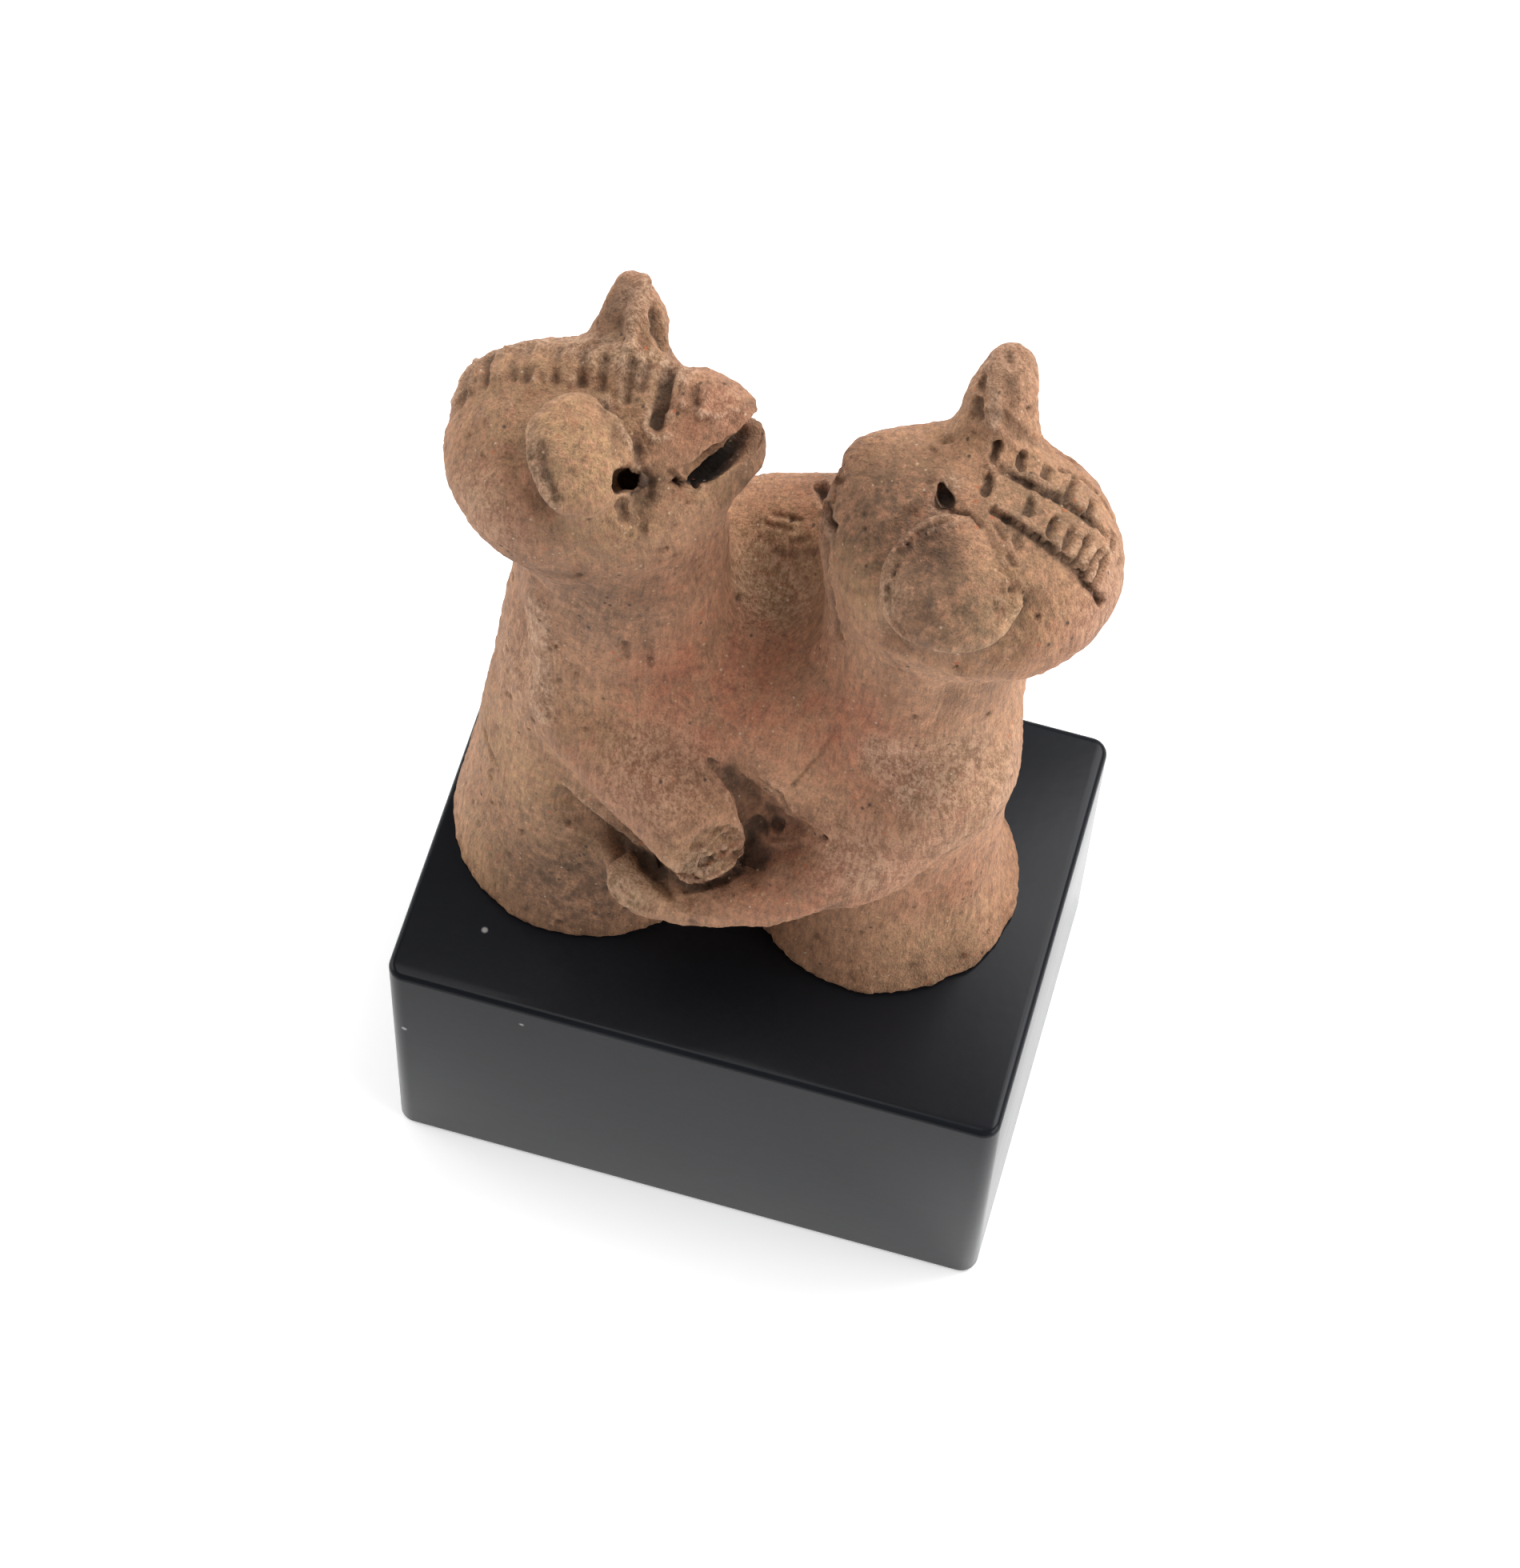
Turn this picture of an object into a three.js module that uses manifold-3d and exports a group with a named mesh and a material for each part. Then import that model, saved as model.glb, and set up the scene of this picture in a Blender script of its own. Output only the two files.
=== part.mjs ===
// Two small terracotta figures that hug each other face to face, modelled by hand as one piece of fired
// clay, and the black wooden plinth they stand on. Millimetres, +Z up, origin at the middle of the
// plinth's underside. +X runs along the plinth from the left figure to the right one, -Y is the front.
import * as THREE from 'three';
import Module from 'manifold-3d';
import { mergeVertices } from 'three/addons/utils/BufferGeometryUtils.js';

// Driving dimensions of the clay pair, from its underside to the ear tips.
const figureHeight = 100;

// Driving dimensions of the plinth. It reaches past the figures' feet by a margin on each side.
const plinthHeight = 43;
const leftMargin = 0.8;
const rightMargin = 5.5;
const frontMargin = 10.7;
const backMargin = 8.9;
const cornerRadius = 2.2; // of the four upright edges
const edgeRounding = 0.9; // of the top and bottom edges

// The clay is described in hundredths of the figures' height, from the middle of the plinth's top.
const unit = figureHeight / 100;
const leftFoot = { x: -20.2, y: -0.3, radius: 17 };
const rightFoot = { x: 15.7, y: 2.3, radius: 16.8 };

// The plinth's edges follow from the feet.
const plinthLeft = (leftFoot.x - leftFoot.radius) * unit - leftMargin;
const plinthRight = (rightFoot.x + rightFoot.radius) * unit + rightMargin;
const plinthFront = (leftFoot.y - leftFoot.radius) * unit - frontMargin;
const plinthBack = (rightFoot.y + rightFoot.radius) * unit + backMargin;
const plinthLength = plinthRight - plinthLeft;
const plinthDepth = plinthBack - plinthFront;

const wasm = await Module();
wasm.setup();

const clamp = THREE.MathUtils.clamp;
const v3 = (x, y, z) => new THREE.Vector3(x, y, z);

// Lumps of clay: each is a function of a point that gives the distance to its skin, negative inside.

// A ball stretched along three directions: its first size lies along the direction given, its last along
// the outward one.
function egg({ at, size, along = [1, 0, 0], out = [0, 0, 1] }) {
  const centre = v3(...at);
  const third = v3(...out).normalize();
  const first = v3(...along).addScaledVector(third, -third.dot(v3(...along))).normalize();
  const second = third.clone().cross(first);
  const q = new THREE.Vector3();
  return (p) => {
    q.copy(p).sub(centre);
    const [x, y, z] = [q.dot(first) / size[0], q.dot(second) / size[1], q.dot(third) / size[2]];
    const reach = Math.hypot(x, y, z);
    const slope = Math.hypot(x / size[0], y / size[1], z / size[2]);
    return slope > 0 ? reach * (reach - 1) / slope : -Math.min(...size);
  };
}

// A roll of clay from one point to another, with a radius at each end.
function roll(from, to, radiusFrom, radiusTo) {
  const start = v3(...from);
  const axis = v3(...to).sub(start);
  const length2 = axis.lengthSq();
  const step = radiusFrom - radiusTo;
  const a2 = length2 - step * step;
  const q = new THREE.Vector3();
  return (p) => {
    q.copy(p).sub(start);
    const y = q.dot(axis);
    const z = y - length2;
    const x2 = q.multiplyScalar(length2).addScaledVector(axis, -y).lengthSq();
    const y2 = y * y * length2;
    const z2 = z * z * length2;
    const k = Math.sign(step) * step * step * x2;
    if (Math.sign(z) * a2 * z2 > k) return Math.sqrt(x2 + z2) / length2 - radiusTo;
    if (Math.sign(y) * a2 * y2 < k) return Math.sqrt(x2 + y2) / length2 - radiusFrom;
    return (Math.sqrt(x2 * a2 / length2) + y * step) / length2 - radiusFrom;
  };
}

// A bent roll through several points, each [x, y, z, radius].
function bentRoll(stations) {
  const parts = stations.slice(1).map((b, i) => {
    const a = stations[i];
    return roll(a.slice(0, 3), b.slice(0, 3), a[3], b[3]);
  });
  return (p) => Math.min(...parts.map((part) => part(p)));
}

// A lump broken off at a flat face.
function brokenOff(lump, at, facing) {
  const through = v3(...at);
  const normal = v3(...facing).normalize();
  const q = new THREE.Vector3();
  return (p) => press(lump(p), -q.copy(p).sub(through).dot(normal), 1.2);
}

// An upright body with an oval section. Rings are [height, middle x, middle y, half width, half depth].
function column(rings) {
  const heights = rings.map((ring) => ring[0]);
  const ringAt = (z) => {
    let i = 0;
    while (i < heights.length - 2 && z > heights[i + 1]) i += 1;
    const t = clamp((z - heights[i]) / (heights[i + 1] - heights[i]), 0, 1);
    const before = rings[Math.max(i - 1, 0)];
    const after = rings[Math.min(i + 2, rings.length - 1)];
    return [1, 2, 3, 4].map((k) => catmullRom(before, rings[i], rings[i + 1], after, k, t));
  };
  return (p) => {
    const [x, y, halfWidth, halfDepth] = ringAt(p.z);
    const reach = Math.hypot((p.x - x) / halfWidth, (p.y - y) / halfDepth);
    const side = (reach - 1) * Math.min(halfWidth, halfDepth);
    return Math.max(side, p.z - heights[heights.length - 1], heights[0] - p.z);
  };
}

// One value of the ring between rings b and c, on a smooth curve through unevenly spaced rings.
function catmullRom(a, b, c, d, k, t) {
  const h = c[0] - b[0];
  const slopeB = (c[k] - a[k]) / (c[0] - a[0]);
  const slopeC = (d[k] - b[k]) / (d[0] - b[0]);
  const t2 = t * t;
  const t3 = t2 * t;
  return b[k] * (2 * t3 - 3 * t2 + 1) + slopeB * h * (t3 - 2 * t2 + t)
    + c[k] * (3 * t2 - 2 * t3) + slopeC * h * (t3 - t2);
}

// Joining two lumps with a thumbed fillet, and pressing one out of another.
function join(a, b, fillet) {
  const h = Math.max(fillet - Math.abs(a - b), 0) / fillet;
  return Math.min(a, b) - h * h * fillet / 4;
}

function press(a, b, fillet) {
  return -join(-a, b, fillet);
}

// How far the bodies run on below the underside before they are cut flat, and how high the skin is read.
const belowFeet = 4;
const fieldLow = [-42.1, -28, -8];
const fieldHigh = [44, 28, 106];
const gridStep = 2.6;

// The left figure.
const leftBody = column([
  [-belowFeet, leftFoot.x, leftFoot.y, leftFoot.radius, leftFoot.radius],
  [0, leftFoot.x, leftFoot.y, leftFoot.radius, leftFoot.radius],
  [6, -20.1, -0.3, 16.3, 16.3],
  [16, -19.9, -0.2, 14.8, 14.4],
  [31, -19.2, 0.1, 13.4, 12.8],
  [47, -18.0, 0.4, 12.6, 11.8],
  [60, -17.0, 0.8, 12.1, 10.8],
  [72, -17.0, 1.0, 11.5, 10.2],
  [84, -17.0, 1.0, 10.7, 9.5],
]);
const leftSkullAt = [-23.4, 1.4, 79.5];
const leftSkull = egg({ at: leftSkullAt, size: [13.4, 12.8, 12.4] });
const leftBeak = roll([-17, 2.6, 83.5], [-7.2, 4.6, 88.4], 9, 4.4);
const leftJaw = roll([-15, 2, 79.5], [-5.6, 3.6, 86], 7.6, 3.8);
const leftCrest = bentRoll([
  [-33.5, 4.2, 84, 2.2],
  [-30, 4.8, 88.2, 2.2],
  [-23, 5.2, 89.9, 2.2],
  [-14, 5.2, 91.0, 2.4],
  [-8.6, 4.8, 93.2, 2.0],
  [-4.8, 4.6, 90.2, 1.6],
]);
const leftFarEar = bentRoll([
  [-19, 8.5, 88.5, 5],
  [-19, 11.3, 93.2, 3.9],
  [-19.2, 13.4, 95, 2.5],
]);
const leftFarBrow = roll([-13, 7.6, 90.2], [-9.2, 7.4, 91.1], 1.7, 1.7);
const leftNearEar = egg({
  at: [-20.6, -5.2, 90.6], size: [6.9, 5.3, 4], along: [-0.54, 0.72, 0.43], out: [0.1, -0.45, 0.88],
});
const leftArm = brokenOff(bentRoll([
  [-20, -5.5, 43, 7.5],
  [-12, -11.2, 38, 6],
  [2, -18, 31.6, 5.3],
]), [-0.6, -17.4, 32.4], [0.72, -0.66, 0.17]);

// The right figure.
const rightBody = column([
  [-belowFeet, rightFoot.x, rightFoot.y, rightFoot.radius, rightFoot.radius],
  [0, rightFoot.x, rightFoot.y, rightFoot.radius, rightFoot.radius],
  [6, 15.8, 2.3, 14.8, 14.8],
  [13, 16.0, 2.3, 13.3, 13.3],
  [30, 16.2, 2.3, 13.4, 12.8],
  [46, 17.0, 2.3, 12.4, 11.6],
  [60, 17.6, 2.3, 11.8, 10.8],
  [74, 18.0, 2.3, 11.8, 10.4],
]);
const rightSkullAt = [22.1, 2.6, 79.2];
const rightSkull = egg({ at: rightSkullAt, size: [15.9, 14.0, 12.8] });
const rightMuzzle = egg({ at: [13, 3, 81.4], size: [7.3, 8.2, 8] });
const rightFarBrow = egg({ at: [10.6, 6.2, 85.4], size: [4.6, 3.2, 3.4] });
const rightFarEar = bentRoll([
  [21.4, 10, 87.5, 5.2],
  [21.1, 12.6, 94.2, 4],
  [21.3, 14.6, 97.0, 3.0],
]);
const rightNearEar = egg({
  at: [20.8, -5.8, 86], size: [8.2, 7.8, 5], along: [-0.54, 0.72, 0.43], out: [0.1, -0.5, 0.85],
});
const rightArm = bentRoll([
  [22, -4, 42, 8.6],
  [14, -10.4, 29.2, 6.8],
  [5, -14.6, 22.6, 4.9],
  [-3.7, -16, 20, 4.7],
  [-10.5, -15.9, 17.7, 4.3],
]);
const backArm = bentRoll([
  [-16, 8, 50, 7],
  [-4, 13.0, 56, 5.6],
  [6, 13.2, 60.5, 5.8],
  [16, 9, 60, 7],
]);
const chest = egg({ at: [-1, -1, 36], size: [19, 12, 17] });
const saddle = roll([-8, 6, 47], [10, 7, 49], 8, 8);
const pit = bentRoll([
  [0.8, -14.5, 44.5, 1.6],
  [4.4, -14.8, 35, 3],
  [9.8, -14, 33, 1.5],
]);

function leftHead(p) {
  let d = join(leftSkull(p), leftBeak(p), 4);
  d = join(d, leftJaw(p), 3);
  d = join(d, leftCrest(p), 2.5);
  d = join(d, leftFarBrow(p), 1.5);
  d = join(d, leftFarEar(p), 2);
  return join(d, leftNearEar(p), 1);
}

function rightHead(p) {
  let d = join(rightSkull(p), rightMuzzle(p), 5);
  d = join(d, rightFarBrow(p), 2);
  d = join(d, rightFarEar(p), 2);
  return join(d, rightNearEar(p), 1.5);
}

function clay(p) {
  let d = Math.min(join(leftBody(p), leftHead(p), 4), join(rightBody(p), rightHead(p), 4));
  d = join(d, join(chest(p), saddle(p), 6), 7);
  d = join(d, backArm(p), 5);
  d = join(d, rightArm(p), 4);
  d = press(d, pit(p), 1.5);
  return join(d, leftArm(p), 1.2);
}

// Cuts made with a pointed stick, in the same hundredths. A stroke is [from, to, half its width].
const leftEye = [[-14.4, -6.8, 92.4], [-15.8, -1.2, 81.6], 1.3];
const rightEye = [[18.1, -0.4, 94], [17.6, 2.2, 86], 0.95];
const leftHandHole = [[0.2, -20.2, 34.6], [1.1, -17.2, 29.6], 0.7];

// Cuts that follow the skin of a head, each through a few points near it.
const leftBrowCut = { near: [[-13.7, 5.2, 94.1], [-13.2, -0.4, 92.2]], half: 0.85 };
const leftHair = { near: [[-34.6, 1.6, 86.6], [-27.5, 3.2, 92.2], [-16.6, 3.6, 93.6]], cuts: 9, reach: 2.1 };
const upperPlait = { near: [[22.2, 6.8, 92.7], [27.6, 7.1, 91.2], [30.6, 6.6, 89.6]], cuts: 4, reach: 1.1 };
const lowerPlait = { near: [[22.3, 3, 92.3], [29, 2.4, 91], [35.5, 0.6, 86.6]], cuts: 6, reach: 1.2 };
const upperFurrow = { near: [[23, 5.4, 92.1], [29, 5.2, 90.6], [33.9, 5, 87.9]], half: 0.5 };
const lowerFurrow = { near: [[23.1, 0.5, 92.2], [31, -0.4, 89.6], [36.6, -1.9, 83.7]], half: 0.5 };
const hairCutHalf = 0.5;

// Mouths. The left figure's beak is open, seen from the side as a lens.
const leftMouth = {
  corner: [-11, -3.2, 86.9],
  ahead: [0.857, 0, 0.515],
  up: [-0.504, 0.208, 0.838],
  length: 15,
  gape: 3.2,
  width: 26,
};
const rightMouth = { at: [5.8, 3, 84.4], size: [3.4, 10, 1.3] };

// Reads a lump's skin on a grid of cubes. Each patch of skin in a cube gets one point, moved on to the skin,
// and each grid edge that crosses the skin gets a quad between the four cubes round it.
function skin(field, low, high, spacing) {
  const count = [0, 1, 2].map((i) => Math.ceil((high[i] - low[i]) / spacing) + 1);
  const index = (i, j, k) => (k * count[1] + j) * count[0] + i;
  const node = (i, j, k) => v3(low[0] + i * spacing, low[1] + j * spacing, low[2] + k * spacing);
  const value = new Float64Array(count[0] * count[1] * count[2]);
  for (let k = 0; k < count[2]; k += 1) {
    for (let j = 0; j < count[1]; j += 1) {
      for (let i = 0; i < count[0]; i += 1) value[index(i, j, k)] = field(node(i, j, k));
    }
  }
  const points = [];
  const pointsOfCube = new Map();
  for (let k = 0; k < count[2] - 1; k += 1) {
    for (let j = 0; j < count[1] - 1; j += 1) {
      for (let i = 0; i < count[0] - 1; i += 1) {
        const at = cubeCorners.map(([x, y, z]) => value[index(i + x, j + y, k + z)]);
        const patches = patchesOf(at);
        if (patches.length === 0) continue;
        const pointOfEdge = [];
        for (const patch of patches) {
          const middle = v3(0, 0, 0);
          for (const e of patch) {
            const [a, b] = cubeEdges[e];
            const [from, to] = [a, b].map((c) => cubeCorners[c]);
            const share = at[a] / (at[a] - at[b]);
            middle.add(node(i + from[0], j + from[1], k + from[2])
              .lerp(node(i + to[0], j + to[1], k + to[2]), share));
            pointOfEdge[e] = points.length;
          }
          points.push(ontoSkin(field, middle.divideScalar(patch.length), spacing / 2));
        }
        pointsOfCube.set(index(i, j, k), pointOfEdge);
      }
    }
  }
  const triangles = [];
  for (let k = 1; k < count[2] - 1; k += 1) {
    for (let j = 1; j < count[1] - 1; j += 1) {
      for (let i = 1; i < count[0] - 1; i += 1) {
        const inside = value[index(i, j, k)] < 0;
        for (let axis = 0; axis < 3; axis += 1) {
          const next = [i, j, k];
          next[axis] += 1;
          if (value[index(...next)] < 0 === inside) continue;
          const [u, v] = [(axis + 1) % 3, (axis + 2) % 3];
          const quad = [[1, 1], [0, 1], [0, 0], [1, 0]].map(([backU, backV]) => {
            const cube = [i, j, k];
            cube[u] -= backU;
            cube[v] -= backV;
            const corner = [0, 0, 0];
            corner[u] = backU;
            corner[v] = backV;
            return pointsOfCube.get(index(...cube))[edgeAt(corner, axis)];
          });
          triangles.push(...halves(points, inside ? quad : quad.reverse()));
        }
      }
    }
  }
  return { points, triangles };
}

// A cube's corners, its edges as pairs of corners, and the four edges round each face.
const cubeCorners = [...Array(8).keys()].map((c) => [c & 1, (c >> 1) & 1, c >> 2]);
const cubeEdges = [];
for (let a = 0; a < 8; a += 1) {
  for (const bit of [1, 2, 4]) {
    if (!(a & bit)) cubeEdges.push([a, a | bit]);
  }
}
const cubeFaces = [0, 1, 2].flatMap((axis) => [0, 1].map((side) => {
  const onFace = (c) => cubeCorners[c][axis] === side;
  return cubeEdges.map((_, e) => e).filter((e) => cubeEdges[e].every(onFace));
}));

function edgeAt([x, y, z], axis) {
  const a = x + 2 * y + 4 * z;
  return cubeEdges.findIndex(([from, to]) => from === a && to === (a | (1 << axis)));
}

// The patches of skin in a cube, each as the list of the cube's edges that it crosses. Two crossed edges
// belong together when a face links them, and a face with four crossed edges links them round its inner
// corners.
function patchesOf(at) {
  const crossed = cubeEdges.map(([a, b]) => at[a] < 0 !== at[b] < 0);
  const patch = cubeEdges.map((_, e) => e);
  const link = (e, f) => {
    const [from, to] = [patch[e], patch[f]];
    patch.forEach((value, g) => {
      if (value === from) patch[g] = to;
    });
  };
  for (const face of cubeFaces) {
    const cut = face.filter((e) => crossed[e]);
    if (cut.length === 2) link(cut[0], cut[1]);
    if (cut.length === 4) {
      const inner = (e) => cubeEdges[e].find((c) => at[c] < 0);
      for (const e of cut) link(e, cut.find((f) => f !== e && inner(f) === inner(e)));
    }
  }
  const names = new Set(patch.filter((_, e) => crossed[e]));
  const edges = cubeEdges.map((_, e) => e);
  return [...names].map((name) => edges.filter((e) => crossed[e] && patch[e] === name));
}

// A point moved along the field's slope until it lies on the skin, but not further than a limit.
function ontoSkin(field, point, limit) {
  const start = point.clone();
  const h = 0.05;
  for (let turn = 0; turn < 4; turn += 1) {
    const d = field(point);
    const slope = v3(
      field(v3(point.x + h, point.y, point.z)) - field(v3(point.x - h, point.y, point.z)),
      field(v3(point.x, point.y + h, point.z)) - field(v3(point.x, point.y - h, point.z)),
      field(v3(point.x, point.y, point.z + h)) - field(v3(point.x, point.y, point.z - h)),
    ).divideScalar(2 * h);
    point.addScaledVector(slope, -d / Math.max(slope.lengthSq(), 0.2));
  }
  return point.sub(start).clampLength(0, limit).add(start);
}

// A quad cut along its shorter diagonal.
function halves(points, [a, b, c, d]) {
  const shorter = points[a].distanceToSquared(points[c]) <= points[b].distanceToSquared(points[d]);
  return shorter ? [a, b, c, a, c, d] : [a, b, d, b, c, d];
}

// Geometry to solid and back.
function solid(geometry) {
  const bare = geometry.clone();
  for (const name of ['normal', 'uv']) bare.deleteAttribute(name);
  const merged = mergeVertices(bare);
  return new wasm.Manifold(new wasm.Mesh({
    numProp: 3,
    vertProperties: new Float32Array(merged.attributes.position.array),
    triVerts: new Uint32Array(merged.index.array),
  }));
}

function geometryOf(body) {
  const mesh = body.getMesh();
  const geometry = new THREE.BufferGeometry();
  geometry.setAttribute('position', new THREE.BufferAttribute(mesh.vertProperties, 3));
  geometry.setIndex(new THREE.BufferAttribute(mesh.triVerts, 1));
  return geometry;
}

// A round stroke from one point to another.
function stroke([from, to, half]) {
  const [start, end] = [v3(...from), v3(...to)];
  const axis = end.clone().sub(start);
  const turn = new THREE.Quaternion().setFromUnitVectors(v3(0, 1, 0), axis.clone().normalize());
  return new THREE.CylinderGeometry(half, half, axis.length(), 7)
    .applyQuaternion(turn)
    .translate(...start.add(end).divideScalar(2).toArray());
}

// A line of points on the skin of a head, found by going out from the middle of the skull.
function lineOnSkin(near, skull, count) {
  const line = new THREE.CatmullRomCurve3(near.map((point) => v3(...point)));
  return [...Array(count).keys()].map((i) => {
    const point = line.getPointAt(i / (count - 1));
    const outward = point.clone().sub(skull).normalize();
    for (let turn = 0; turn < 6; turn += 1) point.addScaledVector(outward, -clay(point));
    return point;
  });
}

// A furrow that follows the skin.
function furrow({ near, half }, skull) {
  const points = lineOnSkin(near, skull, near.length + 1).map((point) => point.toArray());
  return points.slice(1).map((point, i) => stroke([points[i], point, half]));
}

// Short cuts across a lock of hair, evenly spaced along it.
function lockCuts({ near, cuts, reach }, skull) {
  const points = lineOnSkin(near, skull, cuts);
  return points.map((point, i) => {
    const ahead = points[Math.min(i + 1, cuts - 1)].clone().sub(points[Math.max(i - 1, 0)]);
    const across = ahead.cross(point.clone().sub(skull)).setLength(reach);
    const ends = [point.clone().add(across), point.clone().sub(across)];
    return stroke([...ends.map((end) => end.toArray()), hairCutHalf]);
  });
}

// The open beak: a lens as seen from the side, run right through from cheek to cheek.
function mouthCut({ corner, ahead, up, length, gape, width }) {
  const lens = new THREE.Shape();
  lens.moveTo(0, 0).quadraticCurveTo(length / 2, gape, length, gape / 6)
    .lineTo(length, -gape / 6).quadraticCurveTo(length / 2, -gape, 0, 0);
  const [x, y] = [v3(...ahead), v3(...up)];
  const z = x.clone().cross(y).normalize();
  return new THREE.ExtrudeGeometry(lens, { depth: width, bevelEnabled: false, curveSegments: 5 })
    .translate(0, 0, -width / 2)
    .applyMatrix4(new THREE.Matrix4().makeBasis(x.normalize(), z.clone().cross(x), z))
    .translate(...corner);
}

// The ground that the two skirts are cut flat on, as wide and deep as the whole field.
function underside() {
  const [width, depth] = [0, 1].map((i) => 2 * Math.max(-fieldLow[i], fieldHigh[i]));
  return new THREE.BoxGeometry(width, depth, -fieldLow[2]).translate(0, 0, fieldLow[2] / 2);
}

function clayPair() {
  const { points, triangles } = skin(clay, fieldLow, fieldHigh, gridStep);
  const geometry = new THREE.BufferGeometry().setFromPoints(points);
  geometry.setIndex(triangles);
  const [leftSkullMiddle, rightSkullMiddle] = [leftSkullAt, rightSkullAt].map((at) => v3(...at));
  const cutters = [
    underside(),
    mouthCut(leftMouth),
    new THREE.BoxGeometry(...rightMouth.size).translate(...rightMouth.at),
    ...[leftEye, rightEye, leftHandHole].map(stroke),
    ...furrow(leftBrowCut, leftSkullMiddle),
    ...lockCuts(leftHair, leftSkullMiddle),
    ...[upperFurrow, lowerFurrow].flatMap((line) => furrow(line, rightSkullMiddle)),
    ...[upperPlait, lowerPlait].flatMap((lock) => lockCuts(lock, rightSkullMiddle)),
  ];
  const cut = cutters.reduce((body, cutter) => body.subtract(solid(cutter)), solid(geometry));
  return geometryOf(cut).scale(unit, unit, unit);
}

function plinthShape() {
  const outline = new THREE.Shape();
  const [x, y, r] = [plinthLength / 2 - edgeRounding, plinthDepth / 2 - edgeRounding, cornerRadius];
  outline.moveTo(-x + r, -y).lineTo(x - r, -y).absarc(x - r, -y + r, r, -Math.PI / 2, 0)
    .lineTo(x, y - r).absarc(x - r, y - r, r, 0, Math.PI / 2)
    .lineTo(-x + r, y).absarc(-x + r, y - r, r, Math.PI / 2, Math.PI)
    .lineTo(-x, -y + r).absarc(-x + r, -y + r, r, Math.PI, 1.5 * Math.PI);
  return new THREE.ExtrudeGeometry(outline, {
    depth: plinthHeight - 2 * edgeRounding,
    bevelThickness: edgeRounding,
    bevelSize: edgeRounding,
    bevelSegments: 2,
    curveSegments: 4,
  }).translate(0, 0, edgeRounding);
}

const terracotta = new THREE.MeshStandardMaterial({ color: 0xa87b5f, roughness: 0.9, metalness: 0 });
const blackLacquer = new THREE.MeshStandardMaterial({ color: 0x17191b, roughness: 0.4, metalness: 0 });

const work = new THREE.Group();
const figures = new THREE.Mesh(clayPair(), terracotta);
figures.name = 'embracing_figures';
figures.position.set(-(plinthLeft + plinthRight) / 2, -(plinthFront + plinthBack) / 2, plinthHeight);
const plinth = new THREE.Mesh(plinthShape(), blackLacquer);
plinth.name = 'plinth';
work.add(figures, plinth);

export default work;
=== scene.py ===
"""Finish for a terracotta double figure: two small hand-modelled clay figures that hug each other, on
a black lacquered wooden plinth. The skin is carved with a pointed stick's marks and abraded by burial."""

import random

import bmesh
import bpy
import numpy as np
from bpy.props import FloatProperty, FloatVectorProperty, PointerProperty
from mathutils import Matrix, Vector, noise
from mathutils.bvhtree import BVHTree


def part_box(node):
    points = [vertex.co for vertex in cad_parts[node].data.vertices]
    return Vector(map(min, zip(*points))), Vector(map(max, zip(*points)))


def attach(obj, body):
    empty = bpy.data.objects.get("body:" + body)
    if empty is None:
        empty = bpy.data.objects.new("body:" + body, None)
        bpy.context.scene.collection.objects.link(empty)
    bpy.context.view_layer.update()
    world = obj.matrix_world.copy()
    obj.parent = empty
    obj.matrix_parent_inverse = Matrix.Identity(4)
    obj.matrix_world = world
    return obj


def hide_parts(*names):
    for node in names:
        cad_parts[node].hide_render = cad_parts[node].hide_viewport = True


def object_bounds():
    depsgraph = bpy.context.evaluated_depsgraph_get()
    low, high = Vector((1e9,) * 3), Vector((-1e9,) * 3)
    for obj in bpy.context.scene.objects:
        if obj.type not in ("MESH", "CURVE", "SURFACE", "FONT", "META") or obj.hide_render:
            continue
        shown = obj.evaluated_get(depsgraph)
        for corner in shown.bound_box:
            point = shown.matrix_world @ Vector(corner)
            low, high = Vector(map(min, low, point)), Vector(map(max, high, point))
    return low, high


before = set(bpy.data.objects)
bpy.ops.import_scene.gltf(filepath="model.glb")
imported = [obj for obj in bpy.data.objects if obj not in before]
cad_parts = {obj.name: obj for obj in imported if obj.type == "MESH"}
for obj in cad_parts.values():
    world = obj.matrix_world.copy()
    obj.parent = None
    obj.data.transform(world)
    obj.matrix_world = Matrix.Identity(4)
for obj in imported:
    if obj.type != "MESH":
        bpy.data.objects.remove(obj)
CAD_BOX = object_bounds()

bl_info = {
    "name": "Terracotta double figure",
    "version": (1, 0, 0),
    "blender": (4, 5, 0),
    "location": "3D View > Sidebar > Figurine",
    "description": "Carves, weathers and paints a clay pair and its lacquered plinth",
    "category": "Object",
}

MM = 0.001
PLINTH_LOW, PLINTH_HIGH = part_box("plinth")
FOOT_LEVEL = PLINTH_HIGH.z

# The photograph's frame and the camera that took it. Features on the side that shows are placed by their
# pixels in that frame, on the clay where the pixel's line of sight meets it.
PHOTO_SIZE = (1900, 1960)
SENSOR = 36.0
LENS = 112.35
FOCAL_PIXELS = LENS / SENSOR * PHOTO_SIZE[1]
PIXEL_MIDDLE = Vector((PHOTO_SIZE[0] / 2, PHOTO_SIZE[1] / 2))
FIGURE_MIDDLE = Vector((930, 800))
CAMERA_AT = Vector((60.108, -262.490, 573.295)) * MM
CAMERA_RIGHT = Vector((0.96151941, 0.27331139, 0.02795189))
CAMERA_UP = Vector((-0.25455555, 0.8479921, 0.46487727))
CAMERA_BACK = Vector((0.10335328, -0.45410383, 0.88493379))

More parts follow.
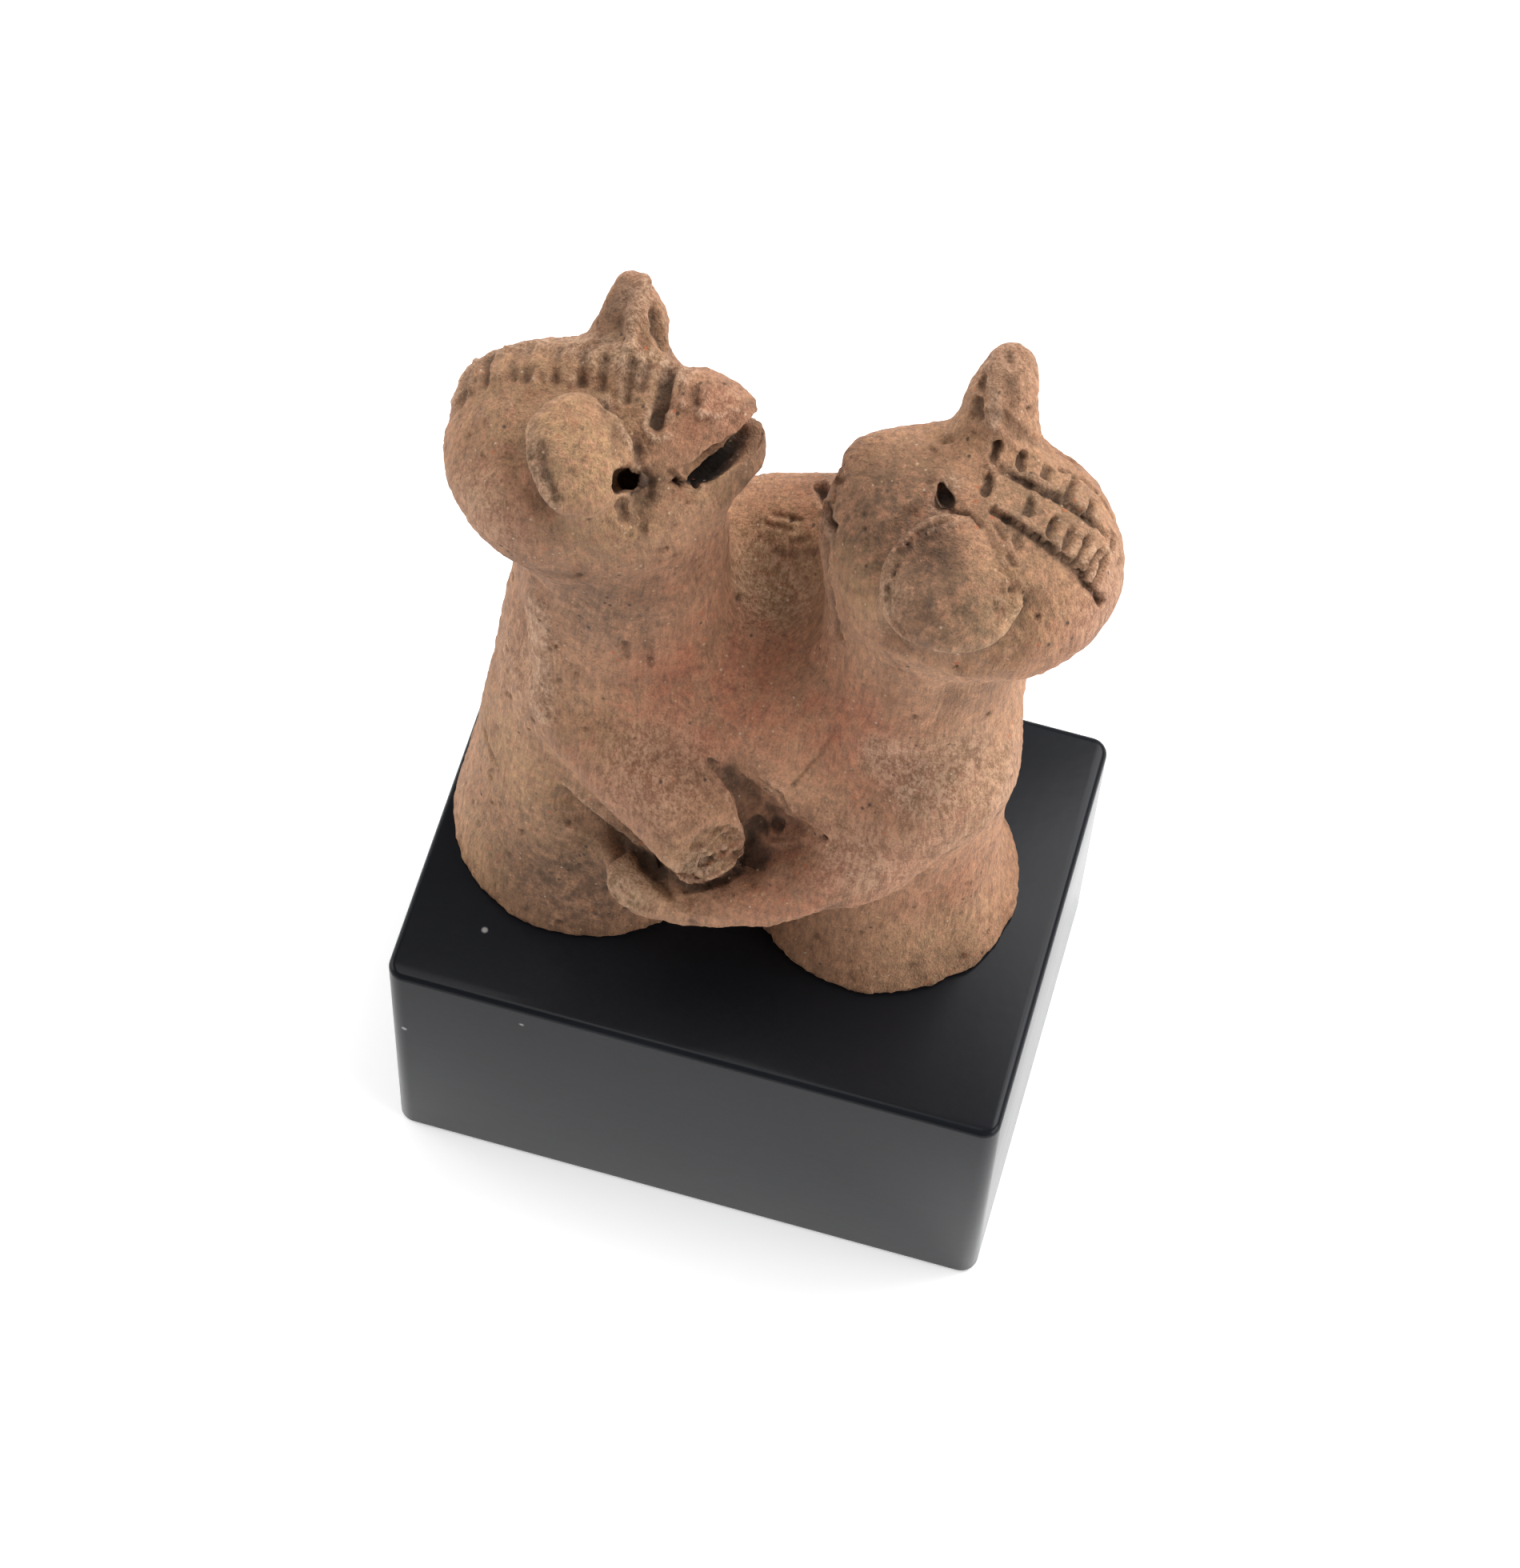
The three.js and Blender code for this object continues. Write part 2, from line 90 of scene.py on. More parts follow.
# The hair of the left head: soft troughs with thin ridges between them, each from its top to its lower end,
# and the deep slot with its lip.
HAIR_TROUGHS = [
    ((588, 466), (577, 504)), ((614, 448), (607, 478)), ((648, 439), (640, 470)), ((661, 436), (655, 472)),
    ((700, 438), (693, 474)), ((732, 443), (727, 478)), ((757, 450), (751, 484)), ((790, 454), (783, 500)),
    ((808, 460), (801, 486)), ((870, 486), (868, 506)),
]
HAIR_RIDGES = [
    ((600, 455), (590, 488)), ((634, 440), (625, 472)), ((676, 437), (668, 476)), ((689, 437), (684, 474)),
    ((722, 440), (717, 478)), ((743, 446), (739, 478)), ((779, 450), (774, 508)), ((803, 454), (796, 480)),
    ((857, 480), (855, 508)), ((884, 490), (877, 520)),
]
CREST = [(572, 495), (590, 462), (620, 442), (660, 432), (700, 431), (745, 438), (800, 451), (850, 468)]
LEFT_SLOT = [(835, 468), (829, 500), (820, 530)]
LEFT_SLOT_LIP = [(836, 545), (818, 552), (808, 536), (812, 510)]
# The plait of the right head: its pits, its scalloped cuts, its furrows and the far crack.
PLAIT_PITS = [
    ((1247, 557), (1242, 575)), ((1279, 570), (1275, 583)), ((1309, 586), (1305, 596)),
    ((1236, 597), (1231, 616)), ((1288, 626), (1286, 640)),
]
PLAIT_CUTS = [
    ((1343, 602), (1335, 621)), ((1319, 649), (1313, 669)), ((1340, 662), (1330, 686)),
    ((1361, 672), (1346, 702)), ((1382, 696), (1368, 726)), ((1374, 690), (1358, 716)),
    ((1391, 668), (1388, 684)), ((1366, 628), (1360, 644)),
]
PLAIT_FURROW = [(1250, 587), (1288, 606), (1326, 625), (1355, 645), (1379, 664)]
LOWER_FURROW = [(1240, 638), (1269, 655), (1307, 681), (1346, 712), (1377, 753)]
FAR_CRACK = [(1326, 587), (1355, 601), (1379, 625), (1390, 642)]
# Edges where one form stands over another. Each line runs so that what it stands over is on its right.
LEFT_EAR = [(784, 562), (776, 532), (760, 508), (734, 490), (694, 495), (667, 519), (656, 548), (662, 592),
            (683, 632), (712, 648)]
RIGHT_EAR = [(1226, 655), (1207, 642), (1172, 642), (1140, 658), (1113, 686), (1099, 724), (1098, 764)]
RIGHT_EAR_LOW = [(1098, 760), (1120, 797), (1163, 814), (1206, 819), (1240, 807), (1266, 786), (1284, 756),
                 (1290, 726)]
LEFT_ARM = [(694, 972), (720, 996), (756, 1028), (792, 1053), (835, 1082), (846, 1100), (864, 1108),
            (900, 1097), (927, 1080), (936, 1053), (929, 1031), (914, 988), (900, 966), (880, 950)]
RIGHT_HAND = [(802, 1054), (783, 1058), (765, 1071), (758, 1089), (761, 1110), (778, 1132), (803, 1147)]
RIGHT_ARM = [(950, 1160), (1000, 1150), (1036, 1136), (1064, 1122)]
STEPS_DOWN = [  # the line, drop, reach of the drop, rise and reach of the rise, in millimetres
    (LEFT_EAR, 1.15, 3.2, 0.45, 2.2),
    (RIGHT_EAR, 1.15, 3.0, 0.5, 1.6),
    (RIGHT_EAR_LOW, 1.3, 3.8, 0.35, 2.8),
    (LEFT_ARM, 1.65, 4.2, 0.45, 3.2),
    (LOWER_FURROW, 0.4, 2.0, 0.55, 2.4),
    (PLAIT_FURROW, 0.25, 1.2, 0.35, 1.8),
    (RIGHT_HAND, 1.3, 3.0, 0.4, 2.0),
    (RIGHT_ARM, 0.6, 5.0, 0.05, 3.5),
]
LEFT_EAR_DENT = [(675, 556), (678, 588), (694, 622)]
RIGHT_EAR_CRACK = [(1190, 640), (1208, 644), (1227, 657)]
# Hollows and rough breaks: the outline, depth, softness of the edge, roughness (millimetres) and darkness,
# the share of dirt and painted shade in the hollow.
DENTS = [
    ([(925, 966), (950, 977), (972, 992), (986, 1016), (1008, 1024), (1031, 1046), (972, 1048), (936, 1046),
      (930, 1030), (920, 1000), (914, 984)], 1.1, 1.6, 0.25, 0.1),
    ([(784, 1058), (800, 1058), (822, 1072), (842, 1092), (850, 1114), (838, 1124), (820, 1112),
      (800, 1086)], 1.35, 1.3, 0.2, 0.6),
    ([(936, 1058), (985, 1052), (1012, 1058), (960, 1085), (930, 1095)], 0.7, 1.3, 0.15, 0.35),
    ([(839, 1070), (878, 1037), (907, 1030), (927, 1036), (934, 1053), (925, 1078), (900, 1094), (865, 1105),
      (848, 1098), (840, 1084)], 0.45, 0.5, 0.5, 0.25),
    ([(1120, 700), (1140, 672), (1175, 662), (1205, 680), (1205, 715), (1180, 735), (1140, 735)],
     1.2, 2.4, 0.1, 0.45),
    ([(1236, 700), (1258, 706), (1284, 716), (1290, 742), (1268, 775), (1244, 778), (1236, 740)],
     0.3, 0.7, 0.55, 0.15),
    ([(786, 585), (815, 590), (815, 640), (800, 680), (778, 655), (784, 615)], 0.5, 1.6, 0.2, 0.4),
    ([(742, 498), (760, 505), (782, 545), (780, 580), (766, 570), (758, 535)], 0.35, 0.9, 0.3, 0.5),
    ([(1150, 598), (1166, 594), (1178, 600), (1160, 609)], 0.6, 0.5, 0.1, 0.5),
    ([(1150, 613), (1158, 612), (1160, 620), (1152, 622)], 0.4, 0.4, 0.1, 0.4),
    ([(1172, 546), (1190, 544), (1194, 553), (1176, 556)], 0.7, 0.5, 0.25, 0.4),
    ([(836, 606), (846, 596), (858, 600), (852, 612)], 1.2, 0.5, 0.3, 0.9),
    ([(774, 630), (787, 628), (790, 644), (784, 654), (776, 648)], 0.9, 0.4, 0.15, 0.8),
    ([(1220, 640), (1235, 648), (1250, 680), (1262, 712), (1244, 706), (1230, 670)], 0.35, 0.7, 0.35, 0.4),
]
# The near eyes, the open beak and the broken end's hole, as outlines of what opens, with their depth in
# millimetres and how far their floors lie aside in pixels.
POCKETS = [
    ([(762, 600), (766, 589), (776, 583), (785, 587), (793, 598), (794, 606), (785, 616), (773, 621),
      (764, 613)], 4.0, (-7, -1)),
    ([(850, 605), (860, 598), (871, 588), (883, 577), (907, 562), (928, 545), (942, 519), (954, 521),
      (950, 541), (933, 565), (913, 585), (896, 600), (881, 608), (865, 611)], 4.0, (-9, -8)),
    ([(1171, 608), (1175, 600), (1181, 604), (1186, 613), (1190, 626), (1182, 628), (1176, 620)],
     3.5, (-2, -2)),
    ([(871, 1080), (884, 1070), (900, 1064), (913, 1064), (909, 1073), (892, 1080), (878, 1084)],
     1.3, (0, -3)),
]
PLUG_AROUND = 1.7  # the skin's distance is taken on the outline enlarged by this
PLUG_ABOVE = 2.5 * MM  # how far outside the skin the plugs that cut these holes start
PLUG_TAPERS = (0.95, 0.74)  # the size of a plug's middle by its start, and of its end by its middle
FAR_EYE = (-13.5, 13.0, 84.5)  # the left head's, in millimetres from the middle of the plinth's top
FAR_EYE_RADIUS = 1.1
FAR_EYE_DEPTH = 3.0
# Creases, cracks and tool marks: the line, half its width and its depth in millimetres.
CREASES = [
    ([(606, 914), (612, 934), (620, 953)], 0.9, 0.35),
    ([(672, 762), (676, 820), (674, 887)], 3.0, -0.45),
    ([(781, 803), (782, 820)], 0.6, 0.4),
    ([(812, 810), (813, 830)], 0.5, 0.35),
    ([(800, 770), (806, 800), (798, 846)], 0.9, 0.2),
    ([(700, 842), (745, 846), (790, 852), (850, 848)], 2.2, 0.2),
    ([(1030, 940), (1012, 956), (1004, 966), (992, 980)], 0.32, 0.25),
    ([(1044, 912), (1036, 926), (1028, 936)], 0.3, 0.2),
    ([(887, 952), (902, 969), (914, 990), (930, 1020)], 0.7, 0.7),
    ([(950, 975), (972, 992), (984, 1014), (1006, 1026), (1031, 1046)], 0.5, 0.6),
    ([(936, 1046), (975, 1049), (1031, 1047)], 0.6, 0.45),
    ([(935, 975), (950, 1005), (955, 1035)], 0.45, 0.35),
    ([(955, 985), (970, 1012), (980, 1036)], 0.4, 0.4),
    ([(944, 982), (962, 1010), (968, 1036)], 0.35, 0.3),
    ([(924, 985), (936, 1010), (942, 1034)], 0.4, 0.25),
    ([(838, 1095), (858, 1112), (880, 1109), (905, 1100), (930, 1084), (940, 1054)], 0.6, 0.7),
    ([(770, 1120), (792, 1130), (812, 1138)], 0.5, 0.2),
    ([(846, 1090), (866, 1082), (876, 1080)], 0.4, 0.4),
    ([(789, 539), (795, 556), (798, 578)], 0.7, 0.5),
    ([(757, 500), (775, 535), (796, 590)], 0.8, -0.5),
    ([(1026, 606), (1030, 622), (1036, 640), (1044, 661)], 0.8, 1.5),
    ([(803, 590), (809, 606)], 0.7, 0.4),
    ([(813, 602), (811, 622)], 0.6, 0.35),
    ([(777, 630), (782, 648)], 0.9, 0.7),
    ([(799, 642), (804, 662)], 0.7, 0.3),
    ([(788, 658), (786, 672)], 0.5, 0.3),
    ([(862, 598), (870, 608)], 0.5, 0.6),
    ([(838, 590), (846, 596)], 0.5, 0.4),
    ([(855, 601), (860, 605)], 0.6, -0.4),
    ([(1048, 599), (1052, 603)], 0.5, 0.5),
    ([(1165, 559), (1173, 568)], 0.45, 0.4),
    ([(1270, 672), (1273, 682)], 0.7, 0.7),
    ([(1261, 697), (1266, 706)], 0.6, 0.6),
    ([(1246, 655), (1252, 668)], 0.5, 0.5),
    ([(818, 392), (820, 408), (829, 430)], 1.0, 1.1),
    ([(806, 350), (799, 372), (792, 400), (788, 430)], 1.1, -0.8),
    ([(778, 362), (768, 390), (760, 415)], 2.2, 0.35),
    ([(1229, 470), (1226, 486)], 0.6, 0.6),
    ([(1221, 503), (1225, 520)], 0.8, 0.7),
    ([(1257, 438), (1262, 448)], 0.7, 0.5),
    ([(1264, 480), (1262, 505)], 1.0, 0.35),
    ([(1236, 460), (1243, 500), (1240, 530)], 1.2, -0.4),
    ([(1250, 520), (1275, 545), (1310, 560)], 1.0, 0.35),
    ([(1300, 525), (1318, 545), (1345, 572)], 0.8, 0.3),
    ([(1128, 705), (1140, 680), (1165, 662), (1195, 656)], 0.5, -0.5),
    ([(1116, 720), (1128, 690), (1150, 666), (1180, 653)], 0.35, 0.45),
    ([(1110, 735), (1112, 765), (1130, 790)], 0.5, 0.25),
    ([(965, 642), (1000, 650), (1030, 646)], 0.5, 0.35),
    ([(958, 655), (990, 662), (1028, 664)], 0.5, 0.3),
    ([(990, 676), (1010, 673), (1028, 668)], 0.45, 0.3),
    ([(975, 690), (1000, 696), (1022, 690)], 0.8, 0.3),
    ([(1034, 680), (1040, 740), (1046, 790)], 1.1, 0.5),
    ([(940, 500), (925, 515), (915, 530)], 0.6, 0.25),
    ([(868, 512), (900, 520), (925, 512)], 0.5, -0.25),
]
# Broad moves of the skin that leave no mark, in the same order.
SHAPING = [
    ([(963, 530), (957, 556), (940, 586), (915, 614)], 3.4, 0.8),
    ([(1195, 755), (1212, 772)], 6.0, -0.8),
    ([(786, 1098), (790, 1120)], 3.0, -0.6),
    ([(772, 375), (764, 408)], 3.4, 0.7),
    ([(848, 436), (856, 452)], 2.6, 0.6),
    ([(650, 765), (653, 830), (656, 885)], 3.4, 0.45),
    ([(700, 470), (745, 478), (790, 500)], 2.6, 0.3),
    ([(590, 500), (620, 488), (660, 482)], 2.6, 0.3),
    ([(800, 560), (806, 600), (806, 650)], 2.6, 0.6),
    ([(1070, 560), (1120, 535), (1180, 530)], 4.0, -0.3),
    ([(1215, 560), (1225, 620)], 2.4, 0.3),
    ([(787, 352), (781, 366)], 3.5, -0.9),
    ([(1218, 930), (1190, 985), (1150, 1035), (1095, 1075)], 3.0, -0.35),
    ([(1238, 960), (1215, 1020), (1180, 1070), (1140, 1100)], 2.6, 0.3),
    ([(1165, 1120), (1178, 1165), (1186, 1215)], 3.2, 0.4),
    ([(1215, 1105), (1222, 1160), (1220, 1210)], 3.0, -0.3),
    ([(1190, 860), (1165, 910), (1135, 960)], 2.6, 0.25),
    ([(730, 700), (722, 760), (716, 830)], 2.6, 0.25),
]
# Patches on the clay: the middle pixel, the radius in millimetres and the strength.
# Soot smudges, and painted shade, such as under the right ear's lower edge and on the left neck.
SOOT_AND_SHADE_PATCHES = [
    ((975, 1015), 5.0, 0.15), ((985, 1040), 4.0, 0.3), ((985, 800), 9.0, 0.25), ((1010, 780), 6.0, 0.2),
    ((720, 1110), 13.0, 0.95), ((640, 1060), 9.0, 0.35), ((735, 1040), 9.0, 0.5), ((690, 720), 8.0, 0.45),
    ((1155, 695), 5.5, 0.95), ((1190, 1235), 9.0, 0.4), ((930, 560), 6.0, 0.5), ((835, 500), 3.0, 0.4),
    ((650, 520), 6.0, 0.35), ((1235, 500), 5.0, 0.3), ((840, 410), 4.0, 0.3), ((1030, 600), 3.0, 0.6),
    ((700, 660), 6.0, 0.3), ((676, 580), 2.5, 0.5), ((1045, 640), 4.0, 0.7), ((805, 610), 3.0, 0.7),
    ((605, 465), 3.0, 0.5), ((790, 480), 3.0, 0.4), ((930, 610), 5.0, 0.5), ((1205, 800), 5.0, 0.3),
    ((985, 1090), 3.5, 0.3), ((820, 1085), 3.5, 0.6), ((1110, 640), 9.0, 0.85), ((1300, 640), 7.0, 0.55),
    ((765, 395), 4.0, 0.35), ((760, 760), 10.0, 0.65), ((1180, 760), 7.0, 0.85), ((1225, 870), 6.0, 0.35),
]
OCHRE_PATCHES = [
    ((725, 565), 9.0, 1.0), ((650, 500), 10.0, 0.7), ((770, 480), 8.0, 0.7), ((760, 650), 8.0, 0.8),
    ((900, 600), 5.0, 0.6), ((1085, 720), 8.0, 0.7), ((1250, 780), 9.0, 0.8), ((1320, 640), 9.0, 0.7),
    ((1120, 600), 8.0, 0.4), ((980, 700), 8.0, 0.9), ((640, 960), 12.0, 0.8), ((600, 1060), 9.0, 0.8),
    ((1180, 1180), 9.0, 0.5), ((1215, 980), 10.0, 0.35), ((820, 430), 6.0, 0.5), ((880, 1070), 6.0, 0.9),
    ((790, 1105), 6.0, 0.9), ((1010, 950), 5.0, 0.2), ((700, 1060), 9.0, 0.5), ((1200, 520), 6.0, 0.4),
    ((740, 900), 8.0, 0.35), ((590, 600), 8.0, 0.35),
]
RED_PATCHES = [
    ((900, 850), 15.0, 0.9), ((1050, 900), 12.0, 0.9), ((780, 960), 11.0, 0.5), ((1000, 1100), 12.0, 0.75),
    ((1120, 650), 7.0, 0.6), ((890, 520), 6.0, 0.7), ((620, 620), 9.0, 0.5), ((1000, 650), 7.0, 0.45),
    ((1350, 800), 9.0, 0.4), ((1130, 1000), 10.0, 0.6), ((860, 400), 4.0, 0.4), ((1200, 1100), 9.0, 0.4),
    ((860, 720), 7.0, 0.5), ((1090, 1080), 9.0, 0.5),
]
# Worn places, and painted highlights on lit parts, such as the hand's knob and the horn's lit facet.
WORN_AND_LIT_PATCHES = [
    ((1160, 985), 6.0, 0.8), ((1120, 950), 5.0, 0.7), ((800, 370), 3.0, 0.7), ((640, 830), 9.0, 0.35),
    ((661, 560), 2.0, 0.9), ((669, 600), 2.0, 0.9), ((683, 626), 1.8, 0.8), ((1390, 760), 9.0, 0.5),
    ((868, 1085), 3.0, 0.9), ((784, 1094), 3.5, 0.9),
    ((1255, 440), 5.0, 0.5), ((1187, 605), 1.5, 1.0), ((1169, 630), 1.3, 0.9), ((1108, 745), 3.0, 0.6),
    ((905, 500), 4.0, 0.4), ((1180, 1050), 6.0, 0.4), ((820, 970), 8.0, 0.5), ((1080, 1085), 8.0, 0.5),
    ((790, 1105), 4.0, 0.6), ((600, 640), 7.0, 0.5), ((1250, 980), 7.0, 0.5), ((1200, 950), 6.0, 0.6),
    ((840, 985), 6.0, 0.4), ((975, 720), 7.0, 0.7),
]

MERGE_DISTANCE = 0.001 * MM
COARSE_VOXEL = 0.7 * MM
FINE_VOXEL = 0.31 * MM
COARSE_SMOOTHING, FINE_SMOOTHING = 6, 1
SMOOTHING_SHARES = (0.5, -0.53)
MOST_TRIANGLES = 194000
# The hollow mask holds dirt and painted shade.
MASKS = ("hollow", "deep", "worn", "rough", "soot", "ochre", "red")
# How far below the uncut skin dirt and painted shade start and are thickest, and the same for the
# near-black painted shade deep in a hole.
DIRT_AND_SHADE_DEPTHS = (0.3 * MM, 0.9 * MM)
HOLE_SHADE_DEPTHS = (0.9 * MM, 2.2 * MM)
BURR_SHARE = 0.25  # the height of the burr beside a cut, by the cut's depth
STEP_END_PIXELS = 40  # an edge fades out over this length at both ends
LUMP_SIZES = ((7 * MM, 1.0), (2.8 * MM, 0.4))  # the size of the thumbed lumps and their share of the height
GRIT_HEIGHT, GRIT_SIZE = 0.12 * MM, 1.3 * MM
BRUSH_HEIGHT, BRUSH_WIDTH, BRUSH_LENGTH = 0.09 * MM, 0.8, 8
PIT_SEED, PIT_COUNT = 11, 420
PIT_RADII, PIT_DEPTHS = (0.35, 0.9), (0.15, 0.45)

# Colours and values of the materials. The factors make other tints of the clay's and the lacquer's colours.
PALE_FACTORS, DARK_FACTORS = (1.30, 1.36, 1.38), (0.60, 0.50, 0.43)
DUST_FACTORS = (1.7, 1.7, 1.7)
# lighter clay for wear and for painted highlight
WORN_AND_LIT_CLAY = (0.53, 0.36, 0.25)
# near-black painted shade for the floors of deep holes
PAINTED_HOLE_SHADE = (0.012, 0.009, 0.007)
SPECKS = (  # the scale of the cells that hold the specks, a speck's size in its cell, and its colour
    (520.0, 0.07, (0.52, 0.15, 0.06)), (760.0, 0.06, (0.62, 0.48, 0.35)),
    (900.0, 0.08, (0.62, 0.42, 0.25)), (640.0, 0.08, (0.05, 0.035, 0.028)),
)
# The scale, detail and roughness of the noises that mix the clay's colours.
CLOUDS, BLOTS, MOTTLE = (85.0, 7.0, 0.62), (260.0, 8.0, 0.70), (620.0, 8.0, 0.75)
GRAIN_PARTS = (  # the scale, the stretch, the detail and the share of each part of the grain
    (3600.0, (1.0, 1.0, 1.0), 5.0, 0.29), (900.0, (1.0, 1.0, 0.7), 9.0, 0.35),
    (2300.0, (1.0, 1.0, 0.10), 6.0, 0.36),
)
GRAIN_DRIFT = (0.004, 0.004, 0.0)
CLAY_BUMP = 1.0 * MM
LACQUER_IOR = 1.205
DUST_SPECK = (0.42, 0.41, 0.40)

FLOOR_HALF, FLOOR_GLOW = 3.0, 0.41
LIT_POINT = (0, 0, 0.08)
LIGHTS = (  # the name, the place and the size of each soft light
    ("key", (0.8, -0.12, 0.34), (0.6, 0.5)), ("fill", (-0.8, 0.0, 0.35), (0.6, 0.5)),
    ("back", (0.38, 0.45, 0.85), (0.7, 0.5)), ("top", (-0.25, 0.02, 1.0), (0.6, 0.5)),
)


class ClayMarks(bpy.types.PropertyGroup):
    hair_depth: FloatProperty(name="Hair cut depth", description="Depth of the stick's cuts across the hair",
                              default=0.55 * MM, subtype="DISTANCE", unit="LENGTH")
    hair_width: FloatProperty(name="Hair cut width", description="Width of the stick's cuts across the hair",
                              default=1.25 * MM, subtype="DISTANCE", unit="LENGTH")
    unevenness: FloatProperty(name="Unevenness", description="How far thumbed lumps stand out of the skin",
                              default=0.22 * MM, subtype="DISTANCE", unit="LENGTH")
    fired: FloatVectorProperty(name="Fired clay", description="Colour of the clean fired clay",
                               default=(0.388, 0.196, 0.110), subtype="COLOR")
    ochre: FloatVectorProperty(name="Ochre dirt", description="Colour of the earth left on the clay",
                               default=(0.425, 0.250, 0.128), subtype="COLOR")
    red: FloatVectorProperty(name="Red clay", description="Colour where the clay fired reddest",
                             default=(0.390, 0.128, 0.068), subtype="COLOR")
    # The soot colour also paints shade, in the hollows and cuts and in some of its patches.
    soot: FloatVectorProperty(name="Soot", description="Colour of the dark smudges and filled cuts",
                              default=(0.078, 0.046, 0.029), subtype="COLOR")


class PlinthFinish(bpy.types.PropertyGroup):
    corner: FloatProperty(name="Corner radius", description="Rounding of the four upright edges",
                          default=1.3 * MM, subtype="DISTANCE", unit="LENGTH")
    edge: FloatProperty(name="Edge radius", description="Rounding of the top and bottom edges",
                        default=0.9 * MM, subtype="DISTANCE", unit="LENGTH")
    lacquer: FloatVectorProperty(name="Lacquer", description="Colour of the lacquer",
                                 default=(0.009, 0.0098, 0.012), subtype="COLOR")


class StudioLight(bpy.types.PropertyGroup):
    key: FloatProperty(name="Key light", description="Power of the soft light on the right", default=4.3,
                       unit="POWER")
    fill: FloatProperty(name="Fill light", description="Power of the soft light on the left", default=3.2,
                        unit="POWER")
    back: FloatProperty(name="Back light", description="Power of the soft light behind", default=9.5,
                        unit="POWER")
    top: FloatProperty(name="Top light", description="Power of the soft light overhead", default=3.0,
                       unit="POWER")
    floor: FloatVectorProperty(name="Floor", description="Colour of the floor", default=(0.9, 0.9, 0.9),
                               subtype="COLOR")


# Points placed by pixel

def line_of_sight(pixel):
    aside = (Vector(pixel) - PIXEL_MIDDLE) / FOCAL_PIXELS
    return (CAMERA_RIGHT * aside.x - CAMERA_UP * aside.y - CAMERA_BACK).normalized()


def shown_at(tree, pixel):
    """The point of the clay that a pixel shows. A pixel just past the outline is moved inwards first."""
    pixel = Vector(pixel)
    for _ in range(60):
        point = tree.ray_cast(CAMERA_AT, line_of_sight(pixel))[0]
        if point is not None:
            return point
        pixel += (FIGURE_MIDDLE - pixel).normalized() * 2
    raise ValueError(f"no clay is shown at {tuple(pixel)}")


def line_on(tree, pixels):
    return np.array([shown_at(tree, pixel) for pixel in pixels])


def in_picture(points):
    """The pixels that points fall on, and their distances in front of the camera."""
    from_camera = points - np.array(CAMERA_AT)
    ahead = -from_camera @ np.array(CAMERA_BACK)
    aside = np.stack([from_camera @ np.array(CAMERA_RIGHT), -from_camera @ np.array(CAMERA_UP)], axis=1)
    return np.array(PIXEL_MIDDLE) + FOCAL_PIXELS * aside / ahead[:, None], ahead


# Meshes

def new_object(name, mesh):
    thing = bpy.data.objects.new(name, mesh)
    bpy.context.scene.collection.objects.link(thing)
    return thing


def with_modifier(thing, kind, **values):
    """The object's mesh replaced by what one modifier makes of it."""
    modifier = thing.modifiers.new(kind.title(), kind)
    for key, value in values.items():
        setattr(modifier, key, value)
    bpy.context.view_layer.update()
    evaluated = thing.evaluated_get(bpy.context.evaluated_depsgraph_get())
    made = bpy.data.meshes.new_from_object(evaluated)
    thing.modifiers.remove(modifier)
    old = thing.data
    thing.data = made
    bpy.data.meshes.remove(old)
    if not made.polygons:
        raise RuntimeError(f"{kind.lower()} left nothing of {thing.name}")
    return thing


def merged_copy(node, name):
    shape = bmesh.new()
    shape.from_mesh(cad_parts[node].data)
    bmesh.ops.remove_doubles(shape, verts=shape.verts, dist=MERGE_DISTANCE)
    mesh = bpy.data.meshes.new(name)
    shape.to_mesh(mesh)
    shape.free()
    return new_object(name, mesh)


def pocket(shape, tree, outline, depth, lean):
    """A tapering plug to cut a hole with: its outline just outside the skin, extruded down the line of sight
    and leaning aside by some pixels."""
    pixels = [Vector(pixel) for pixel in outline]
    middle = sum(pixels, Vector((0, 0))) / len(pixels)
    around = [shown_at(tree, middle + (pixel - middle) * PLUG_AROUND) for pixel in pixels]
    distance = float(np.median([(point - CAMERA_AT).length for point in around]))
    start = distance - PLUG_ABOVE
    end = shape.faces.new([shape.verts.new(CAMERA_AT + line_of_sight(pixel) * start) for pixel in pixels])
    aside = (CAMERA_RIGHT * lean[0] - CAMERA_UP * lean[1]) * distance / FOCAL_PIXELS
    for down, share in zip((PLUG_ABOVE + depth / 2, depth / 2), PLUG_TAPERS):
        made = bmesh.ops.extrude_face_region(shape, geom=[end])
        end = next(part for part in made["geom"] if isinstance(part, bmesh.types.BMFace))
        bmesh.ops.translate(shape, verts=end.verts, vec=line_of_sight(middle) * down + aside / 2)
        bmesh.ops.scale(shape, verts=end.verts, vec=(share, share, share),
                        space=Matrix.Translation(-end.calc_center_median()))
    bmesh.ops.recalc_face_normals(shape, faces=shape.faces)


def poked_hole(shape, tree, at, radius, depth):
    at = Vector(at) * MM + Vector((0, 0, FOOT_LEVEL))
    point, normal = tree.find_nearest(at)[:2]
    turn = normal.to_track_quat("Z", "Y").to_matrix().to_4x4()
    bmesh.ops.create_cone(shape, cap_ends=True, segments=12, radius1=radius * 0.6 * MM, radius2=radius * MM,
                          depth=2 * depth * MM, matrix=Matrix.Translation(point) @ turn)


